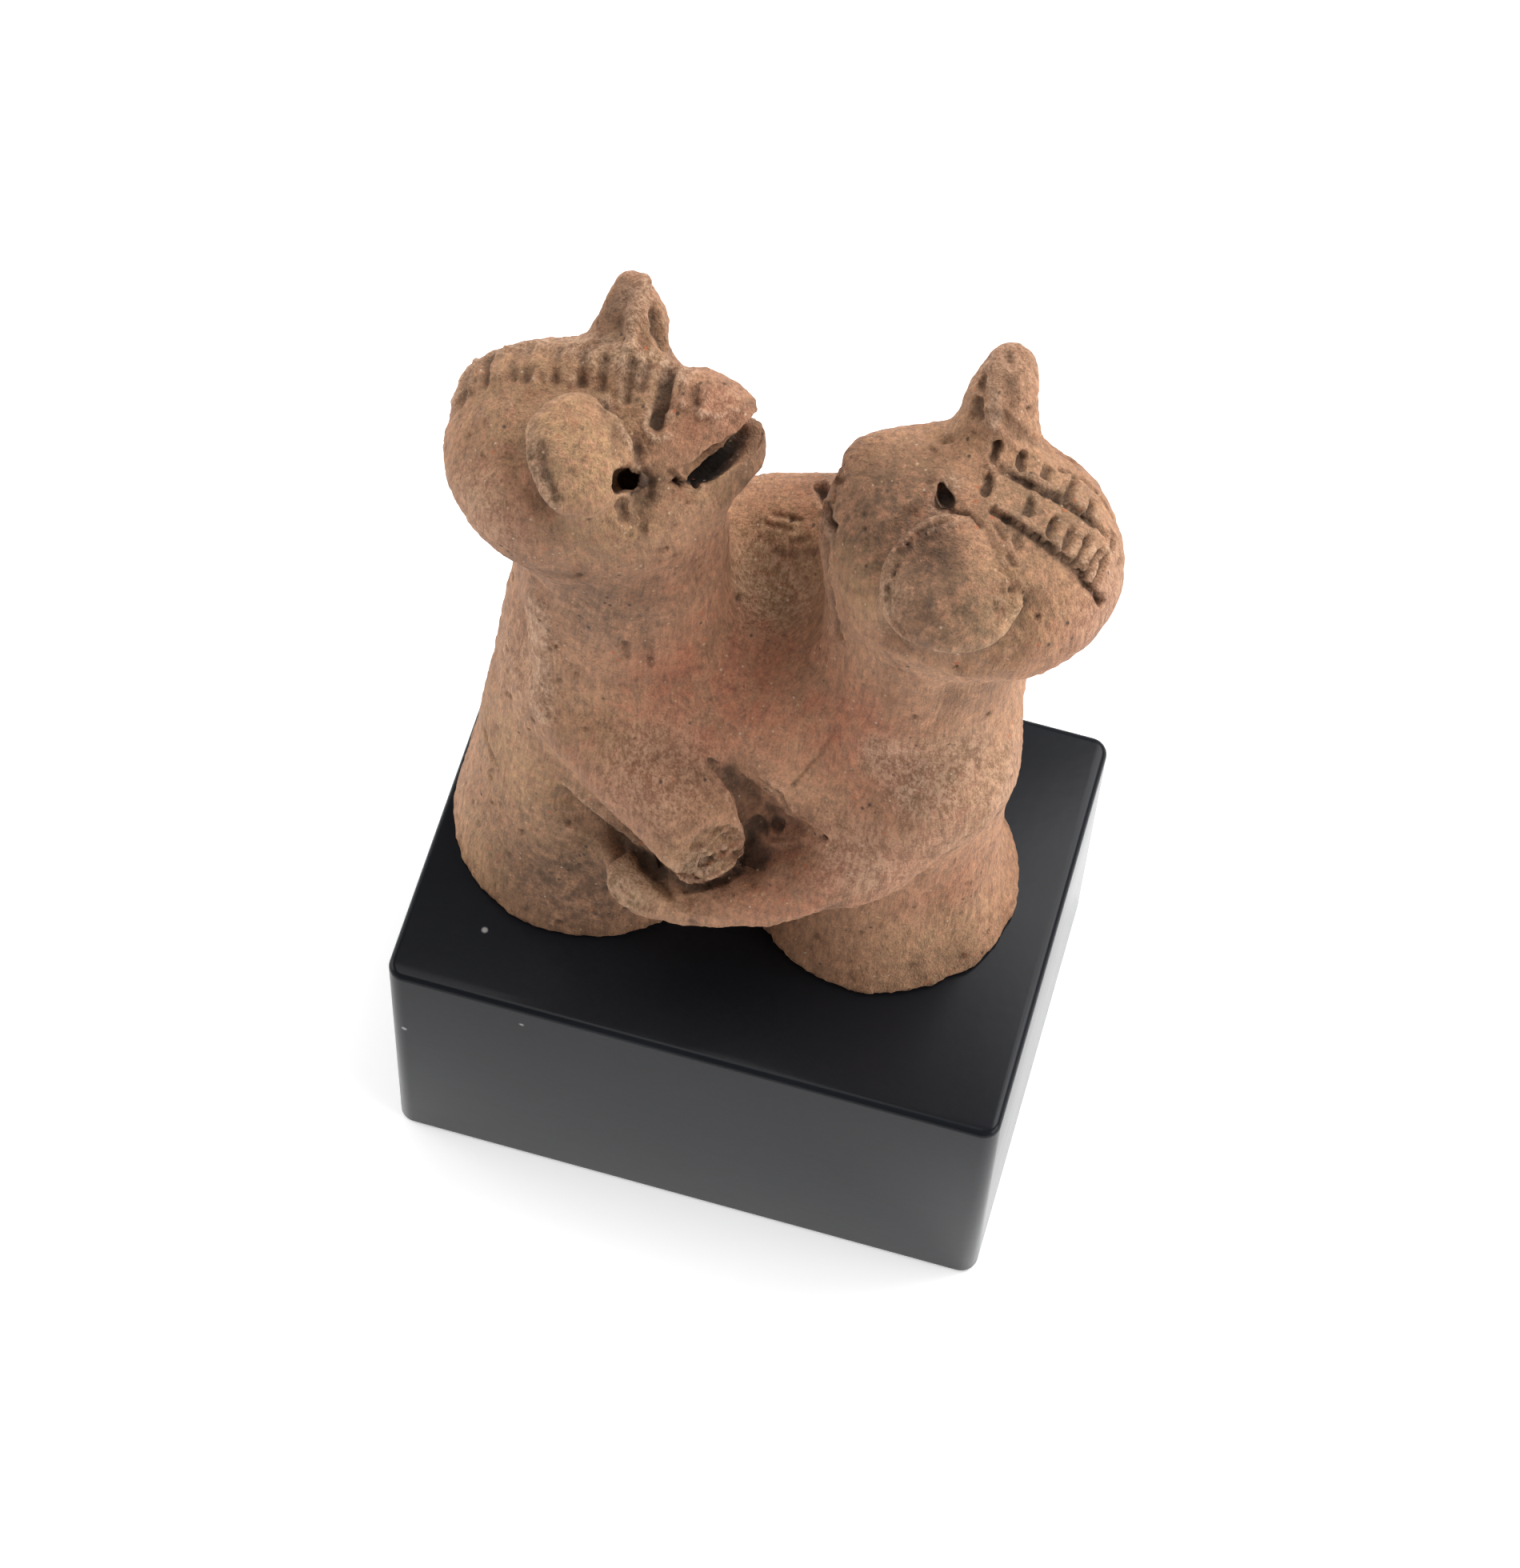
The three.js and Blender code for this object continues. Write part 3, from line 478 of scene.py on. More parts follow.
class Skin:
    """A mesh's points as arrays, and the moves that shape them."""

    def __init__(self, thing):
        self.mesh = thing.data
        count = len(self.mesh.vertices)
        self.at = np.empty(count * 3)
        self.mesh.vertices.foreach_get("co", self.at)
        self.at = self.at.reshape(-1, 3)
        ends = np.empty(len(self.mesh.edges) * 2, dtype=np.int64)
        self.mesh.edges.foreach_get("vertices", ends)
        self.ends = ends.reshape(-1, 2)
        self.ties = np.maximum(np.bincount(ends, minlength=count), 1)
        self.masks = {name: np.zeros(count) for name in MASKS}

    def darken_with_dirt_and_shade(self, which, share):
        """Marks points as lying in a hollow, where dirt stays and shade is painted."""
        self.masks["hollow"][which] = np.maximum(self.masks["hollow"][which], share)

    def write(self):
        self.mesh.vertices.foreach_set("co", self.at.ravel())
        self.mesh.update()

    def normals(self):
        self.write()
        out = np.empty(len(self.at) * 3, dtype=np.float32)
        self.mesh.vertex_normals.foreach_get("vector", out)
        return out.reshape(-1, 3).astype(float)

    def tree(self):
        self.write()
        shape = bmesh.new()
        shape.from_mesh(self.mesh)
        tree = BVHTree.FromBMesh(shape)
        shape.free()
        return tree

    def averaged(self, values):
        """Each point's value taken as the average of its neighbours'."""
        a, b = self.ends.T
        count = len(self.at)
        if values.ndim == 1:
            return (np.bincount(a, values[b], count) + np.bincount(b, values[a], count)) / self.ties
        return np.stack([self.averaged(column) for column in values.T], axis=1)

    def smooth(self, turns):
        """Smoothed in pairs of steps, in and out, so that nothing shrinks."""
        for _ in range(turns):
            for share in SMOOTHING_SHARES:
                self.at += share * (self.averaged(self.at) - self.at)

    def push(self, rise):
        self.at += self.normals() * rise[:, None]

    def near(self, line):
        """Each point's distance from a line of points, and the nearest point on it."""
        best = np.full(len(self.at), np.inf)
        foot = np.zeros_like(self.at)
        for start, end in zip(line[:-1], line[1:]):
            along = end - start
            share = np.clip((self.at - start) @ along / max(along @ along, 1e-18), 0, 1)
            point = start + share[:, None] * along
            distance = np.linalg.norm(self.at - point, axis=1)
            nearer = distance < best
            best[nearer] = distance[nearer]
            foot[nearer] = point[nearer]
        return best, foot


def fade(distance, full, end):
    """1 up to one distance, falling smoothly to 0 at another."""
    t = np.clip((distance - full) / (end - full), 0, 1)
    return 1 - t * t * (3 - 2 * t)


def lumps(points, size, octaves=2):
    """Smooth noise at each point, about from -1 to 1, with lumps of one size in metres."""
    return np.array([noise.fractal(Vector(point) / size, 1.0, 2.0, octaves) for point in points])


def rounded(pixels):
    """A line of pixels with its corners cut twice, so that it bends smoothly."""
    points = np.array(pixels, dtype=float)
    for _ in range(2):
        before, after = points[:-1], points[1:]
        between = np.stack([before * 0.75 + after * 0.25, before * 0.25 + after * 0.75], axis=1)
        points = np.vstack([points[:1], between.reshape(-1, 2), points[-1:]])
    return points


def bend_skin(skin, line, half, depth):
    return -depth * fade(skin.near(line)[0], 0, half)


def cut(skin, line, half, depth, steep=0.35):
    """The rise of a hand-made cut, uneven in width and depth, with a burr beside it. A negative depth makes
    a ridge. A cut is darkened with dirt and painted shade, and a ridge lightened as wear and painted
    highlight."""
    distance = skin.near(line)[0]
    touched = distance < 2.2 * half
    out = np.zeros(len(distance))
    near = distance[touched] * (1 + 0.3 * lumps(skin.at[touched], 1.1 * MM))
    inside = fade(near, half * steep, half) * (0.85 + 0.3 * lumps(skin.at[touched], 1.7 * MM))
    burr = fade(np.abs(near - 1.25 * half), 0, 0.55 * half)
    out[touched] = -depth * inside
    if depth > 0:
        out[touched] += BURR_SHARE * depth * burr * (0.6 + 0.6 * lumps(skin.at[touched], 0.9 * MM))
        skin.darken_with_dirt_and_shade(touched, inside * min(1, depth / (0.8 * MM)))
    else:
        skin.masks["worn"][touched] = np.maximum(skin.masks["worn"][touched], inside * 0.95)
    return out


def step(skin, view, tree, line, drop, out, rise, within):
    """The edge of a form that stands over what is on the line's right, as the camera sees it. Painted shade
    darkens the skin under the edge, and its rim is lightened as wear and painted highlight.
    """
    pixels, ahead = view
    corners, corner_ahead = in_picture(line_on(tree, rounded(line)))
    best = np.full(len(pixels), np.inf)
    side, level, run = (np.zeros(len(pixels)) for _ in range(3))
    length = 0.0
    for start, end, near, far in zip(corners[:-1], corners[1:], corner_ahead[:-1], corner_ahead[1:]):
        along = end - start
        share = np.clip((pixels - start) @ along / max(along @ along, 1e-9), 0, 1)
        gap = pixels - (start + share[:, None] * along)
        distance = np.linalg.norm(gap, axis=1)
        nearer = distance < best
        best[nearer] = distance[nearer]
        side[nearer] = np.sign(along[0] * gap[nearer, 1] - along[1] * gap[nearer, 0])
        level[nearer] = (near + share * (far - near))[nearer]
        run[nearer] = (length + share * np.linalg.norm(along))[nearer]
        length += np.linalg.norm(along)
    distance = best * ahead / FOCAL_PIXELS
    to_end = np.minimum(run, length - run)
    counts = fade(np.abs(ahead - level), 4 * MM, 8 * MM) * (1 - fade(to_end, 0, STEP_END_PIXELS))
    near = (distance < max(out, within) * 1.5) & (counts > 0)
    wobble = np.zeros(len(distance))
    wobble[near] = 0.25 * lumps(skin.at[near], 2 * MM)
    distance = distance * (1 + wobble)
    outer = np.where(side > 0, fade(distance, 0.12 * out, out), fade(distance, 0, 0.12 * out) * 0.4) * counts
    inner = np.where(side > 0, 0, fade(distance, 0.25 * within, within)) * counts
    # painted shade on the skin under the edge, on the side it stands over
    skin.darken_with_dirt_and_shade(slice(None), np.where(side > 0, fade(distance, 0.1 * out, 0.45 * out), 0) * counts * 0.7)
    rim = np.where(side > 0, 0, fade(distance, 0.1 * within, 0.5 * within)) * counts * min(0.35, rise / MM)
    skin.masks["worn"] = np.maximum(skin.masks["worn"], rim)
    return -drop * outer + rise * inner


def dent(skin, view, tree, outline, depth, soft, rough, dark):
    """A hollow with a soft edge and a rough floor, inside an outline that the camera sees, darkened by dirt
    and painted shade.
    """
    pixels, ahead = view
    corners = np.array(outline, dtype=float)
    best = np.full(len(pixels), np.inf)
    within = np.zeros(len(pixels), dtype=bool)
    for start, end in zip(corners, np.roll(corners, -1, axis=0)):
        along = end - start
        share = np.clip((pixels - start) @ along / (along @ along), 0, 1)
        best = np.minimum(best, np.linalg.norm(pixels - (start + share[:, None] * along), axis=1))
        crosses = (start[1] > pixels[:, 1]) != (end[1] > pixels[:, 1])
        reach = start[0] + (pixels[:, 1] - start[1]) * along[0] / (along[1] or 1e-9)
        within ^= crosses & (pixels[:, 0] < reach)
    level = np.median(in_picture(line_on(tree, outline))[1])
    counts = fade(np.abs(ahead - level), 5 * MM, 9 * MM)
    distance = np.where(within, -best, best) * ahead / FOCAL_PIXELS
    share = fade(distance, -soft, 0.35 * soft) * counts
    touched = share > 0
    skin.darken_with_dirt_and_shade(touched, share[touched] * dark)
    out = np.zeros(len(pixels))
    out[touched] = -share[touched] * (depth - rough * lumps(skin.at[touched], 1.1 * MM, 3))
    broken = share[touched] * min(1, rough / MM * 2)
    skin.masks["rough"][touched] = np.maximum(skin.masks["rough"][touched], broken)
    return out


def patches(skin, tree, spots):
    total = np.zeros(len(skin.at))
    for pixel, radius, strength in spots:
        distance = np.linalg.norm(skin.at - np.array(shown_at(tree, pixel)), axis=1)
        total = np.maximum(total, strength * fade(distance, 0.25 * radius * MM, 1.3 * radius * MM))
    return total


def carve(skin, marks):
    """Edges first, then hollows, then everything cut with the stick, each on the skin as it then is."""
    tree = skin.tree()
    view = in_picture(skin.at)
    rise = sum(bend_skin(skin, line_on(tree, line), half * MM, depth * MM) for line, half, depth in SHAPING)
    for line, *sizes in STEPS_DOWN:
        rise += step(skin, view, tree, line, *(size * MM for size in sizes))
    skin.push(rise)
    tree = skin.tree()
    view = in_picture(skin.at)
    rise = np.zeros(len(skin.at))
    for outline, depth, soft, rough, dark in DENTS:
        rise += dent(skin, view, tree, outline, depth * MM, soft * MM, rough * MM, dark)
    skin.push(rise)
    rise = np.zeros(len(skin.at))
    for line, half, depth in (
        (CREST, 2.6, -0.45), (LEFT_EAR_DENT, 0.9, 0.5), (RIGHT_EAR_CRACK, 0.45, 0.9), (LEFT_SLOT, 1.1, 1.15),
        (LEFT_SLOT_LIP, 0.6, -0.35), (PLAIT_FURROW, 0.65, 0.8), (LOWER_FURROW, 0.6, 1.0),
        (FAR_CRACK, 0.45, 0.6), *CREASES,
    ):
        rise += cut(skin, line_on(tree, line), half * MM, depth * MM)
    for strokes, width, share, steep in (
        (HAIR_TROUGHS, 1.5, 1.1, 0.1), (HAIR_RIDGES, 0.75, -1.05, 0.2), (PLAIT_PITS, 1.0, 1.4, 0.6),
        (PLAIT_CUTS, 1.0, 1.7, 0.25),
    ):
        for stroke in strokes:
            rise += cut(skin, line_on(tree, stroke), marks.hair_width / 2 * width, marks.hair_depth * share,
                        steep=steep)
    skin.push(rise)


def weather(skin, marks):
    """Thumbed unevenness, grit and small pits; dirt that burial left, with painted shade, in the hollows and
    pits; and wear, with painted highlight, on what bulges.
    """
    random.seed(PIT_SEED)
    points = skin.at.copy()
    skin.push(marks.unevenness * sum(share * lumps(points, size) for size, share in LUMP_SIZES))
    gritty = GRIT_HEIGHT * (1 + 1.6 * skin.masks["rough"]) * lumps(points, GRIT_SIZE, 3)
    wide, long = BRUSH_WIDTH, BRUSH_LENGTH
    brushed = np.array([noise.noise(Vector((x / wide, y / wide, z / long)) / MM) for x, y, z in points])
    skin.push(gritty + BRUSH_HEIGHT * brushed)
    pits = np.zeros(len(skin.at))
    for index in random.sample(range(len(skin.at)), PIT_COUNT):
        radius = random.uniform(*PIT_RADII) * MM
        depth = random.uniform(*PIT_DEPTHS)
        box = np.all(np.abs(skin.at - skin.at[index]) < radius, axis=1)
        distance = np.linalg.norm(skin.at[box] - skin.at[index], axis=1)
        pits[box] = np.maximum(pits[box], fade(distance, 0, radius) * depth)
    skin.push(-pits * MM)
    skin.darken_with_dirt_and_shade(slice(None), pits * 1.8)
    # concave skin gets dirt and painted shade, convex skin wear and painted highlight
    bend = np.einsum("ij,ij->i", skin.averaged(skin.averaged(skin.at)) - skin.at, skin.normals()) / MM
    for _ in range(3):
        bend = skin.averaged(bend)
    skin.masks["hollow"] = np.clip(np.maximum(skin.masks["hollow"], 9 * (bend - 0.012)), 0, 1)
    skin.masks["worn"] = np.clip(np.maximum(skin.masks["worn"], 8 * (-bend - 0.02)), 0, 1)


def keep_in_place(skin):
    low, high = (np.array(corner) for corner in CAD_BOX)
    skin.at[:, 2] = np.where(skin.at[:, 2] < FOOT_LEVEL + 0.2 * MM, FOOT_LEVEL, skin.at[:, 2])
    skin.at = np.clip(skin.at, low, high)


# Materials

def new_material(name):
    material = bpy.data.materials.new(name)
    material.use_nodes = True
    return material, material.node_tree.nodes["Principled BSDF"]


def tinted(colour, factors):
    return tuple(min(1, value * factor) for value, factor in zip(colour, factors))


class Wiring:
    """Short ways to add nodes to a tree."""

    def __init__(self, tree):
        self.tree = tree

    def node(self, kind, inputs=None, **values):
        made = self.tree.nodes.new("ShaderNode" + kind)
        for key, value in values.items():
            setattr(made, key, value)
        for key, value in (inputs or {}).items():
            if isinstance(value, bpy.types.NodeSocket):
                self.tree.links.new(value, made.inputs[key])
            else:
                made.inputs[key].default_value = value
        return made

    def link(self, source, target):
        self.tree.links.new(source, target)

    def mix(self, share, a, b, blend="MIX"):
        made = self.node("Mix", data_type="RGBA", blend_type=blend)
        for socket, value in ((made.inputs["Factor"], share), (made.inputs[6], a), (made.inputs[7], b)):
            if isinstance(value, bpy.types.NodeSocket):
                self.link(value, socket)
            else:
                socket.default_value = value if isinstance(value, float) else (*value[:3], 1)
        return made.outputs[2]

    def math(self, operation, *values, clamp=False):
        made = self.node("Math", operation=operation, use_clamp=clamp)
        for socket, value in zip(made.inputs, values):
            if isinstance(value, bpy.types.NodeSocket):
                self.link(value, socket)
            else:
                socket.default_value = value
        return made.outputs[0]

    def times(self, a, b, clamp=False):
        return self.math("MULTIPLY", a, b, clamp=clamp)

    def noise(self, scale, place, detail=4.0, rough=0.55):
        inputs = {"Vector": place, "Scale": scale, "Detail": detail, "Roughness": rough}
        return self.node("TexNoise", inputs).outputs[0]

    def scaled(self, value, low, high):
        """Low where the value is 0, high where it is 1."""
        return self.node("MapRange", {"Value": value, "To Min": low, "To Max": high}).outputs[0]

    def between(self, value, low, high):
        """0 below low, 1 above high."""
        return self.node("MapRange", {"Value": value, "From Min": low, "From Max": high},
                         interpolation_type="SMOOTHSTEP").outputs[0]


def grain_group():
    """Grit and brushed lines: a height for the bump, and a painted shade from it that darkens the clay where
    the height is low.
    """
    group = bpy.data.node_groups.new("Gritty grain", "ShaderNodeTree")
    group.interface.new_socket("Place", in_out="INPUT", socket_type="NodeSocketVector")
    group.interface.new_socket("Size", in_out="INPUT", socket_type="NodeSocketFloat").default_value = 1.0
    for name in ("Shade", "Height"):
        group.interface.new_socket(name, in_out="OUTPUT", socket_type="NodeSocketFloat")
    wires = Wiring(group)
    start, end = group.nodes.new("NodeGroupInput"), group.nodes.new("NodeGroupOutput")
    place = wires.node("VectorMath", {0: start.outputs["Place"]}, operation="SCALE")
    wires.link(start.outputs["Size"], place.inputs["Scale"])
    drift = wires.node("TexNoise", {"Vector": place.outputs[0], "Scale": 60.0, "Detail": 1.0})
    bent = wires.node("VectorMath", {0: drift.outputs["Color"], 1: GRAIN_DRIFT, 2: place.outputs[0]},
                      operation="MULTIPLY_ADD").outputs[0]
    total = None
    for scale, stretch, detail, share in GRAIN_PARTS:
        drawn = wires.node("Mapping", {"Vector": bent, "Scale": stretch}).outputs[0]
        part = wires.times(wires.noise(scale, drawn, detail, 0.66), share)
        total = part if total is None else wires.math("ADD", total, part)
    shade = wires.node("MapRange", {"Value": total, "From Min": 0.40, "From Max": 0.60}).outputs[0]
    wires.link(shade, end.inputs["Shade"])
    wires.link(total, end.inputs["Height"])
    return group


def terracotta(marks, grain):
    material, shader = new_material("Terracotta")
    wires = Wiring(material.node_tree)
    place = wires.node("TexCoord").outputs["Object"]
    mask = {name: wires.node("Attribute", attribute_name=name).outputs["Fac"] for name in MASKS}
    gritty = wires.node("Group", node_tree=grain)
    wires.link(place, gritty.inputs["Place"])
    swirled = wires.node("Mapping", {"Vector": place, "Scale": (1.0, 1.0, 0.45)}).outputs[0]
    clouds, blots, mottle = (wires.noise(scale, where, detail, rough) for where, (scale, detail, rough) in (
        (swirled, CLOUDS), (swirled, BLOTS), (place, MOTTLE)))
    pale, dark = tinted(marks.fired, PALE_FACTORS), tinted(marks.fired, DARK_FACTORS)
    colour = wires.mix(wires.between(clouds, 0.36, 0.66), marks.fired, pale)
    colour = wires.mix(wires.times(wires.between(blots, 0.48, 0.66), 0.6), colour, dark)
    red = wires.times(mask["red"], wires.between(blots, 0.68, 0.4))
    colour = wires.mix(wires.times(red, 0.9), colour, marks.red)
    ochre = wires.times(wires.math("ADD", mask["ochre"], 0.2), wires.between(mottle, 0.36, 0.58))
    colour = wires.mix(wires.times(ochre, 0.9, clamp=True), colour, marks.ochre)
    # wear and painted highlight on ridges, edge rims, bulges and lit patches
    worn = wires.times(mask["worn"], wires.between(gritty.outputs["Shade"], 0.3, 0.7))
    colour = wires.mix(wires.times(worn, 0.7), colour, WORN_AND_LIT_CLAY)
    # soot smudges and painted shade, by the patches
    soot = wires.times(mask["soot"], wires.between(mottle, 0.3, 0.6))
    colour = wires.mix(wires.times(soot, 0.8), colour, marks.soot)
    patchy = wires.times(wires.between(mottle, 0.57, 0.68), wires.between(clouds, 0.42, 0.62))
    colour = wires.mix(wires.times(patchy, 0.4), colour, marks.soot)
    # dirt and painted shade in the hollows, cuts, pits and under overhanging edges
    dirty_and_shaded = wires.times(mask["hollow"], wires.between(blots, 0.12, 0.42))
    colour = wires.mix(wires.times(dirty_and_shaded, 0.85), colour, marks.soot)
    # painted shade: the floors of deep holes painted near black
    colour = wires.mix(wires.times(mask["deep"], 0.9), colour, PAINTED_HOLE_SHADE)
    # painted shade of the grain's relief: its low parts darker, its high parts lighter
    shade = wires.scaled(gritty.outputs["Shade"], 0.58, 1.42)
    grey = wires.node("CombineColor", {"Red": shade, "Green": shade, "Blue": shade}).outputs[0]
    colour = wires.mix(1.0, colour, grey, "MULTIPLY")
    for scale, size, tint in SPECKS:
        cells = wires.node("TexVoronoi", {"Vector": place, "Scale": scale, "Randomness": 1.0})
        few = wires.between(wires.noise(scale * 0.37, place, 2.0), 0.56, 0.62)
        speck = wires.times(wires.between(cells.outputs["Distance"], size * 2.6, size), few)
        colour = wires.mix(wires.times(speck, 0.8), colour, tint)
    wires.link(colour, shader.inputs["Base Color"])
    wires.link(wires.scaled(gritty.outputs["Shade"], 0.62, 0.95), shader.inputs["Roughness"])
    shader.inputs["Specular IOR Level"].default_value = 0.4
    bump = wires.node("Bump", {"Strength": 1.0, "Distance": CLAY_BUMP, "Height": gritty.outputs["Height"]})
    wires.link(bump.outputs[0], shader.inputs["Normal"])
    return material


def black_lacquer(finish):
    material, shader = new_material("Black lacquer")
    wires = Wiring(material.node_tree)
    place = wires.node("TexCoord").outputs["Object"]
    dust = wires.between(wires.noise(45.0, place, 6.0, 0.6), 0.45, 0.75)
    cells = wires.node("TexVoronoi", {"Vector": place, "Scale": 170.0, "Randomness": 1.0})
    few = wires.between(wires.noise(60.0, place, 2.0), 0.62, 0.66)
    speck = wires.times(wires.between(cells.outputs["Distance"], 0.09, 0.04), few)
    dusty = tinted(finish.lacquer, DUST_FACTORS)
    colour = wires.mix(wires.times(dust, 0.35), finish.lacquer, dusty)
    colour = wires.mix(wires.times(speck, 0.7), colour, DUST_SPECK)
    wires.link(colour, shader.inputs["Base Color"])
    streaks = wires.node("Mapping", {"Vector": place, "Scale": (1.0, 1.0, 7.0)}).outputs[0]
    wires.link(wires.scaled(wires.noise(60.0, streaks, 5.0, 0.6), 0.15, 0.24), shader.inputs["Roughness"])
    shader.inputs["IOR"].default_value = LACQUER_IOR
    peel = wires.noise(900.0, place, 2.0, 0.5)
    bump = wires.node("Bump", {"Strength": 0.12, "Distance": 0.05 * MM, "Height": peel})
    wires.link(bump.outputs[0], shader.inputs["Normal"])
    return material


# Operators

class FIGURINE_OT_model_pair(bpy.types.Operator):
    """Model the hugging clay pair from its solid: smooth it, open eyes and mouths, carve and weather it"""
    bl_idname = "figurine.model_pair"
    bl_label = "Model clay pair"

    def execute(self, context):
        marks = context.scene.clay_marks
        pair = merged_copy("embracing_figures", "clay_pair")
        with_modifier(pair, "REMESH", mode="VOXEL", voxel_size=COARSE_VOXEL)
        skin = Skin(pair)
        skin.smooth(COARSE_SMOOTHING)
        skin.write()
        tree = skin.tree()
        plugs = bmesh.new()
        for outline, depth, lean in POCKETS:
            pocket(plugs, tree, outline, depth * MM, lean)
        poked_hole(plugs, tree, FAR_EYE, FAR_EYE_RADIUS, FAR_EYE_DEPTH)
        plug_mesh = bpy.data.meshes.new("plugs")
        plugs.to_mesh(plug_mesh)
        plugs.free()
        plug = new_object("plugs", plug_mesh)
        with_modifier(pair, "BOOLEAN", operation="DIFFERENCE", solver="EXACT", object=plug)
        bpy.data.objects.remove(plug)
        with_modifier(pair, "REMESH", mode="VOXEL", voxel_size=FINE_VOXEL)
        skin = Skin(pair)
        skin.smooth(FINE_SMOOTHING)
        uncut = np.array([tree.find_nearest(Vector(point))[3] for point in skin.at])
        # dirt and painted shade in the cut holes, and near-black painted shade deep in them
        skin.darken_with_dirt_and_shade(slice(None), 1 - fade(uncut, *DIRT_AND_SHADE_DEPTHS))
        skin.masks["deep"] = 1 - fade(uncut, *HOLE_SHADE_DEPTHS)
        carve(skin, marks)
        weather(skin, marks)
        keep_in_place(skin)
        tree = skin.tree()
        for name, spots in (("soot", SOOT_AND_SHADE_PATCHES), ("ochre", OCHRE_PATCHES), ("red", RED_PATCHES)):
            skin.masks[name] = patches(skin, tree, spots)
        skin.masks["worn"] = np.maximum(skin.masks["worn"], patches(skin, tree, WORN_AND_LIT_PATCHES))
        skin.write()
        for name, values in skin.masks.items():
            layer = pair.data.attributes.new(name, "FLOAT", "POINT")
            layer.data.foreach_set("value", values.astype(np.float32))
        triangles = 2 * len(pair.data.polygons)
        with_modifier(pair, "DECIMATE", ratio=min(1, MOST_TRIANGLES / triangles))
        pair.data.polygons.foreach_set("use_smooth", [True] * len(pair.data.polygons))
        pair.data.materials.clear()
        grain = bpy.data.node_groups.get("Gritty grain") or grain_group()
        pair.data.materials.append(terracotta(marks, grain))
        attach(pair, "root")
        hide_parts("embracing_figures")
        return {"FINISHED"}


class FIGURINE_OT_model_plinth(bpy.types.Operator):
    """Model the plinth as a block with softened edges and lacquer it black"""
    bl_idname = "figurine.model_plinth"
    bl_label = "Model plinth"

    def execute(self, context):
        finish = context.scene.plinth_finish
        shape = bmesh.new()
        size = PLINTH_HIGH - PLINTH_LOW
        place = Matrix.Translation((PLINTH_LOW + PLINTH_HIGH) / 2) @ Matrix.Diagonal((*size, 1))
        bmesh.ops.create_cube(shape, size=1, matrix=place)
        upright = [e for e in shape.edges if abs(e.verts[0].co.z - e.verts[1].co.z) > size.z / 2]
        bmesh.ops.bevel(shape, geom=upright, offset=finish.corner + finish.edge, segments=10, profile=0.5,
                        affect="EDGES", material=-1)
        rims = [e for e in shape.edges if abs(e.verts[0].co.z - e.verts[1].co.z) < 1e-6 and any(
            abs(f.normal.z) > 0.9 for f in e.link_faces)]
        bmesh.ops.bevel(shape, geom=rims, offset=finish.edge, segments=5, profile=0.5, affect="EDGES",
                        material=-1)
        bmesh.ops.recalc_face_normals(shape, faces=shape.faces)
        mesh = bpy.data.meshes.new("lacquered_plinth")
        shape.to_mesh(mesh)
        shape.free()
        block = new_object("lacquered_plinth", mesh)
        with_modifier(block, "WEIGHTED_NORMAL", keep_sharp=True)
        block.data.polygons.foreach_set("use_smooth", [True] * len(block.data.polygons))
        block.data.materials.append(black_lacquer(finish))
        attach(block, "root")
        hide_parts("plinth")
        return {"FINISHED"}


def area_light(name, at, size, power):
    light = bpy.data.lights.new(name, "AREA")
    light.shape = "RECTANGLE"
    light.size, light.size_y = size
    light.energy = power
    lamp = bpy.data.objects.new(name, light)
    lamp.location = at
    lamp.rotation_euler = (Vector(LIT_POINT) - Vector(at)).to_track_quat("-Z", "Y").to_euler()
    bpy.context.scene.collection.objects.link(lamp)


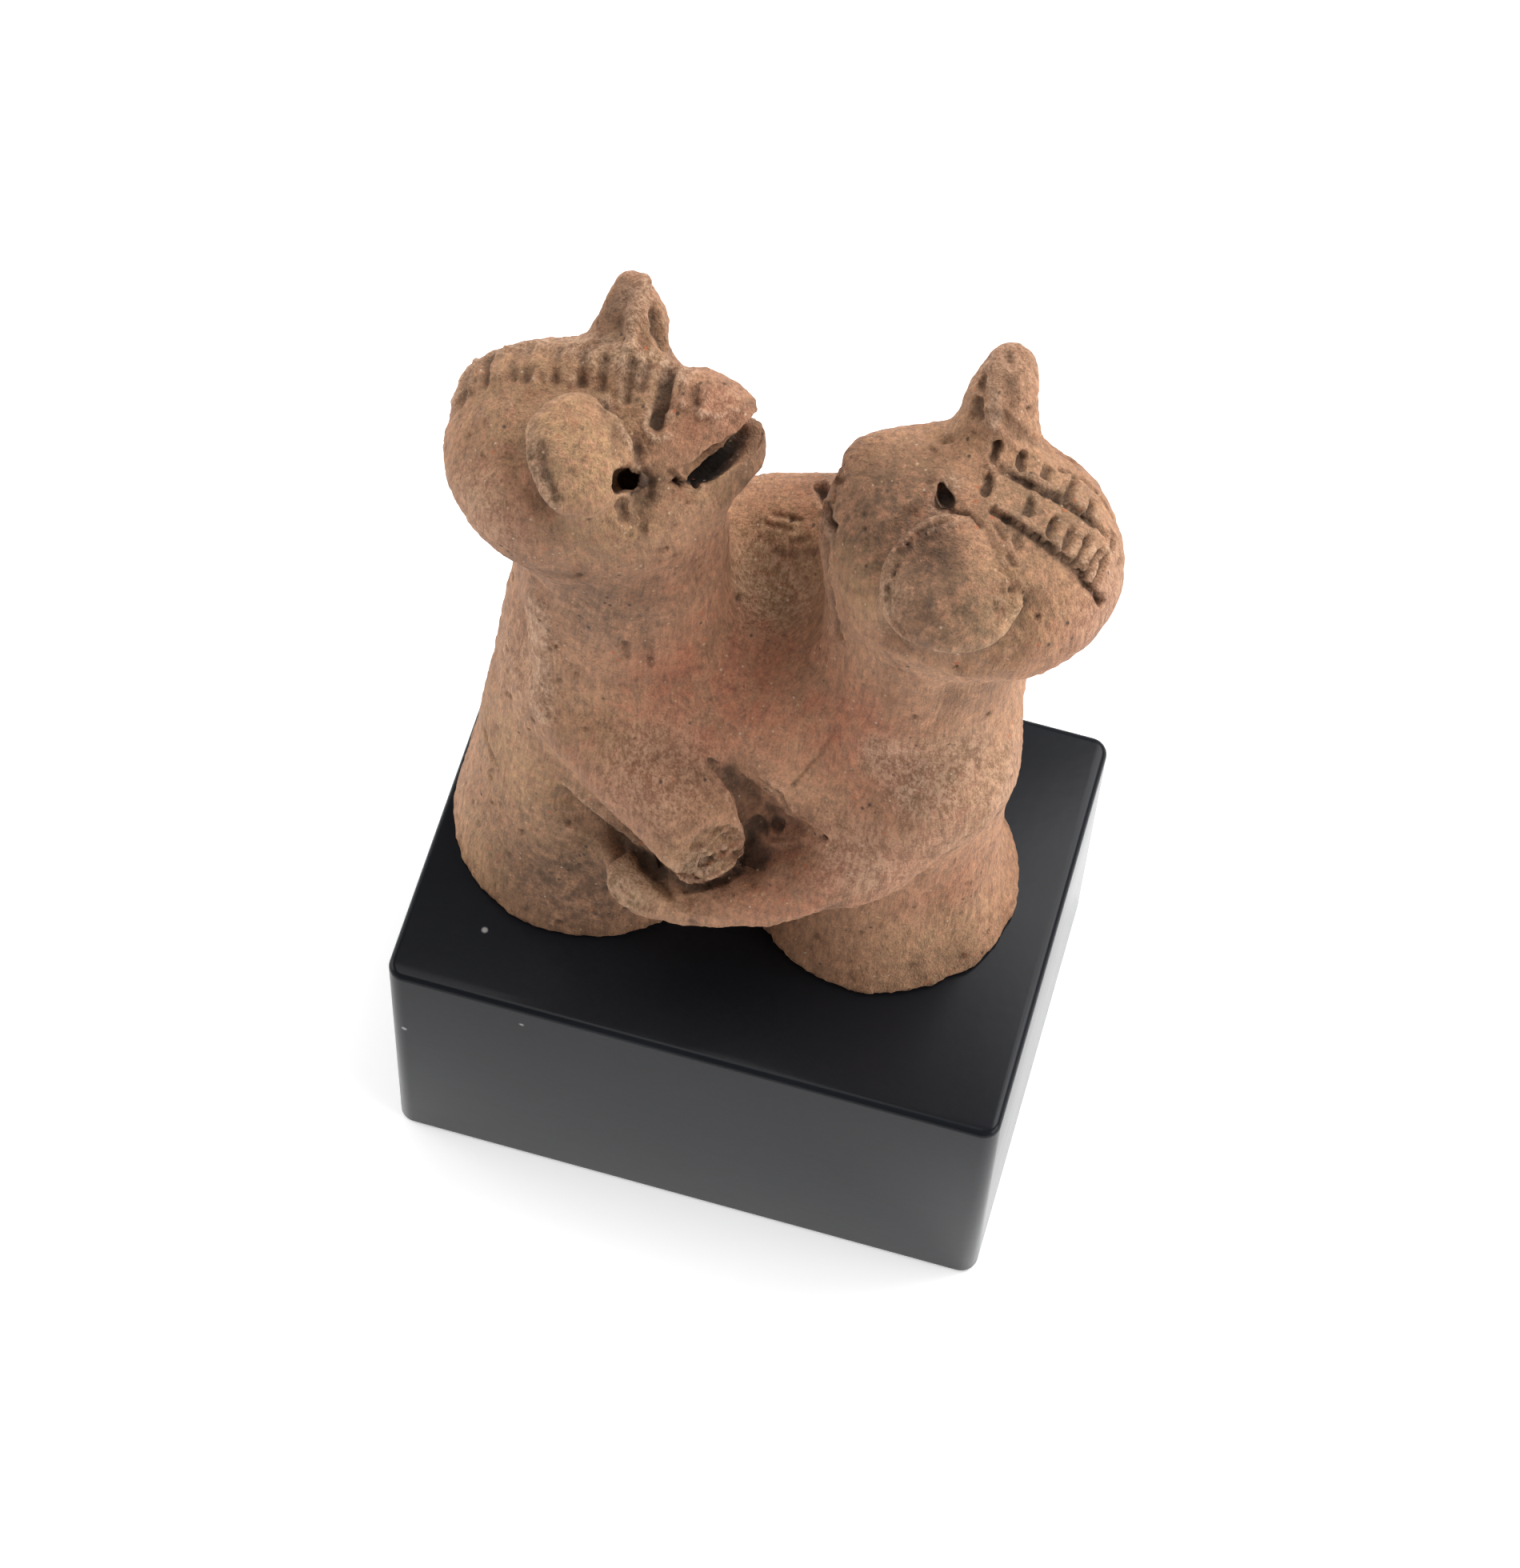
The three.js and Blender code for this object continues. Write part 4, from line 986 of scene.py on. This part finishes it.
class FIGURINE_OT_set_stage(bpy.types.Operator):
    """Set the pale floor, the soft studio light and the camera"""
    bl_idname = "figurine.set_stage"
    bl_label = "Set stage"

    def execute(self, context):
        scene = context.scene
        studio = scene.studio_light
        shape = bmesh.new()
        bmesh.ops.create_grid(shape, x_segments=1, y_segments=1, size=FLOOR_HALF)
        mesh = bpy.data.meshes.new("floor")
        shape.to_mesh(mesh)
        shape.free()
        floor = new_object("floor", mesh)
        material, shader = new_material("Floor")
        shader.inputs["Base Color"].default_value = (*studio.floor, 1)
        shader.inputs["Roughness"].default_value = 0.9
        mesh.materials.append(material)
        shader.inputs["Emission Color"].default_value = (*studio.floor, 1)
        shader.inputs["Emission Strength"].default_value = FLOOR_GLOW
        for name, at, size in LIGHTS:
            area_light(name, at, size, getattr(studio, name))
        world = bpy.data.worlds.new("Studio")
        world.use_nodes = True
        wires = Wiring(world.node_tree)
        towards = wires.node("SeparateXYZ", {0: wires.node("TexCoord").outputs["Generated"]}).outputs
        low = wires.between(towards["Z"], 0.85, 0.05)
        sides = wires.between(wires.math("ABSOLUTE", towards["X"]), 0.1, 0.9)
        behind = wires.between(towards["Y"], -0.1, 0.9)
        glow = wires.math("ADD", wires.times(sides, 0.35), wires.times(behind, 0.45))
        glow = wires.math("ADD", wires.times(wires.math("ADD", glow, 0.1), low), 0.19)
        background = world.node_tree.nodes["Background"]
        background.inputs["Color"].default_value = (1, 1, 1, 1)
        wires.link(glow, background.inputs["Strength"])
        scene.world = world
        scene.view_settings.view_transform = "Standard"
        lens = bpy.data.cameras.new("camera")
        lens.sensor_width, lens.lens = SENSOR, LENS
        lens.clip_start, lens.clip_end = 0.01, 20
        camera = bpy.data.objects.new("camera", lens)
        scene.collection.objects.link(camera)
        camera.matrix_world = Matrix.Translation(CAMERA_AT) @ Matrix(
            (CAMERA_RIGHT, CAMERA_UP, CAMERA_BACK)).transposed().to_4x4()
        scene.camera = camera
        return {"FINISHED"}


class FIGURINE_PT_panel(bpy.types.Panel):
    """Lists the steps that make the figurine"""
    bl_idname = "FIGURINE_PT_panel"
    bl_label = "Double figure"
    bl_space_type = "VIEW_3D"
    bl_region_type = "UI"
    bl_category = "Figurine"

    def draw(self, context):
        layout = self.layout
        for group in ("clay_marks", "plinth_finish", "studio_light"):
            settings = getattr(context.scene, group)
            for name in settings.__annotations__:
                layout.prop(settings, name)
        for step in STEPS:
            layout.operator(step.bl_idname)


STEPS = (FIGURINE_OT_model_pair, FIGURINE_OT_model_plinth, FIGURINE_OT_set_stage)
SETTINGS = {"clay_marks": ClayMarks, "plinth_finish": PlinthFinish, "studio_light": StudioLight}
CLASSES = (*SETTINGS.values(), *STEPS, FIGURINE_PT_panel)


def register():
    for each in CLASSES:
        bpy.utils.register_class(each)
    for name, kind in SETTINGS.items():
        setattr(bpy.types.Scene, name, PointerProperty(type=kind))


def unregister():
    for name in SETTINGS:
        delattr(bpy.types.Scene, name)
    for each in reversed(CLASSES):
        bpy.utils.unregister_class(each)


def main():
    register()
    bpy.ops.figurine.model_pair()
    bpy.ops.figurine.model_plinth()
    bpy.ops.figurine.set_stage()


if __name__ == "__main__":
    main()
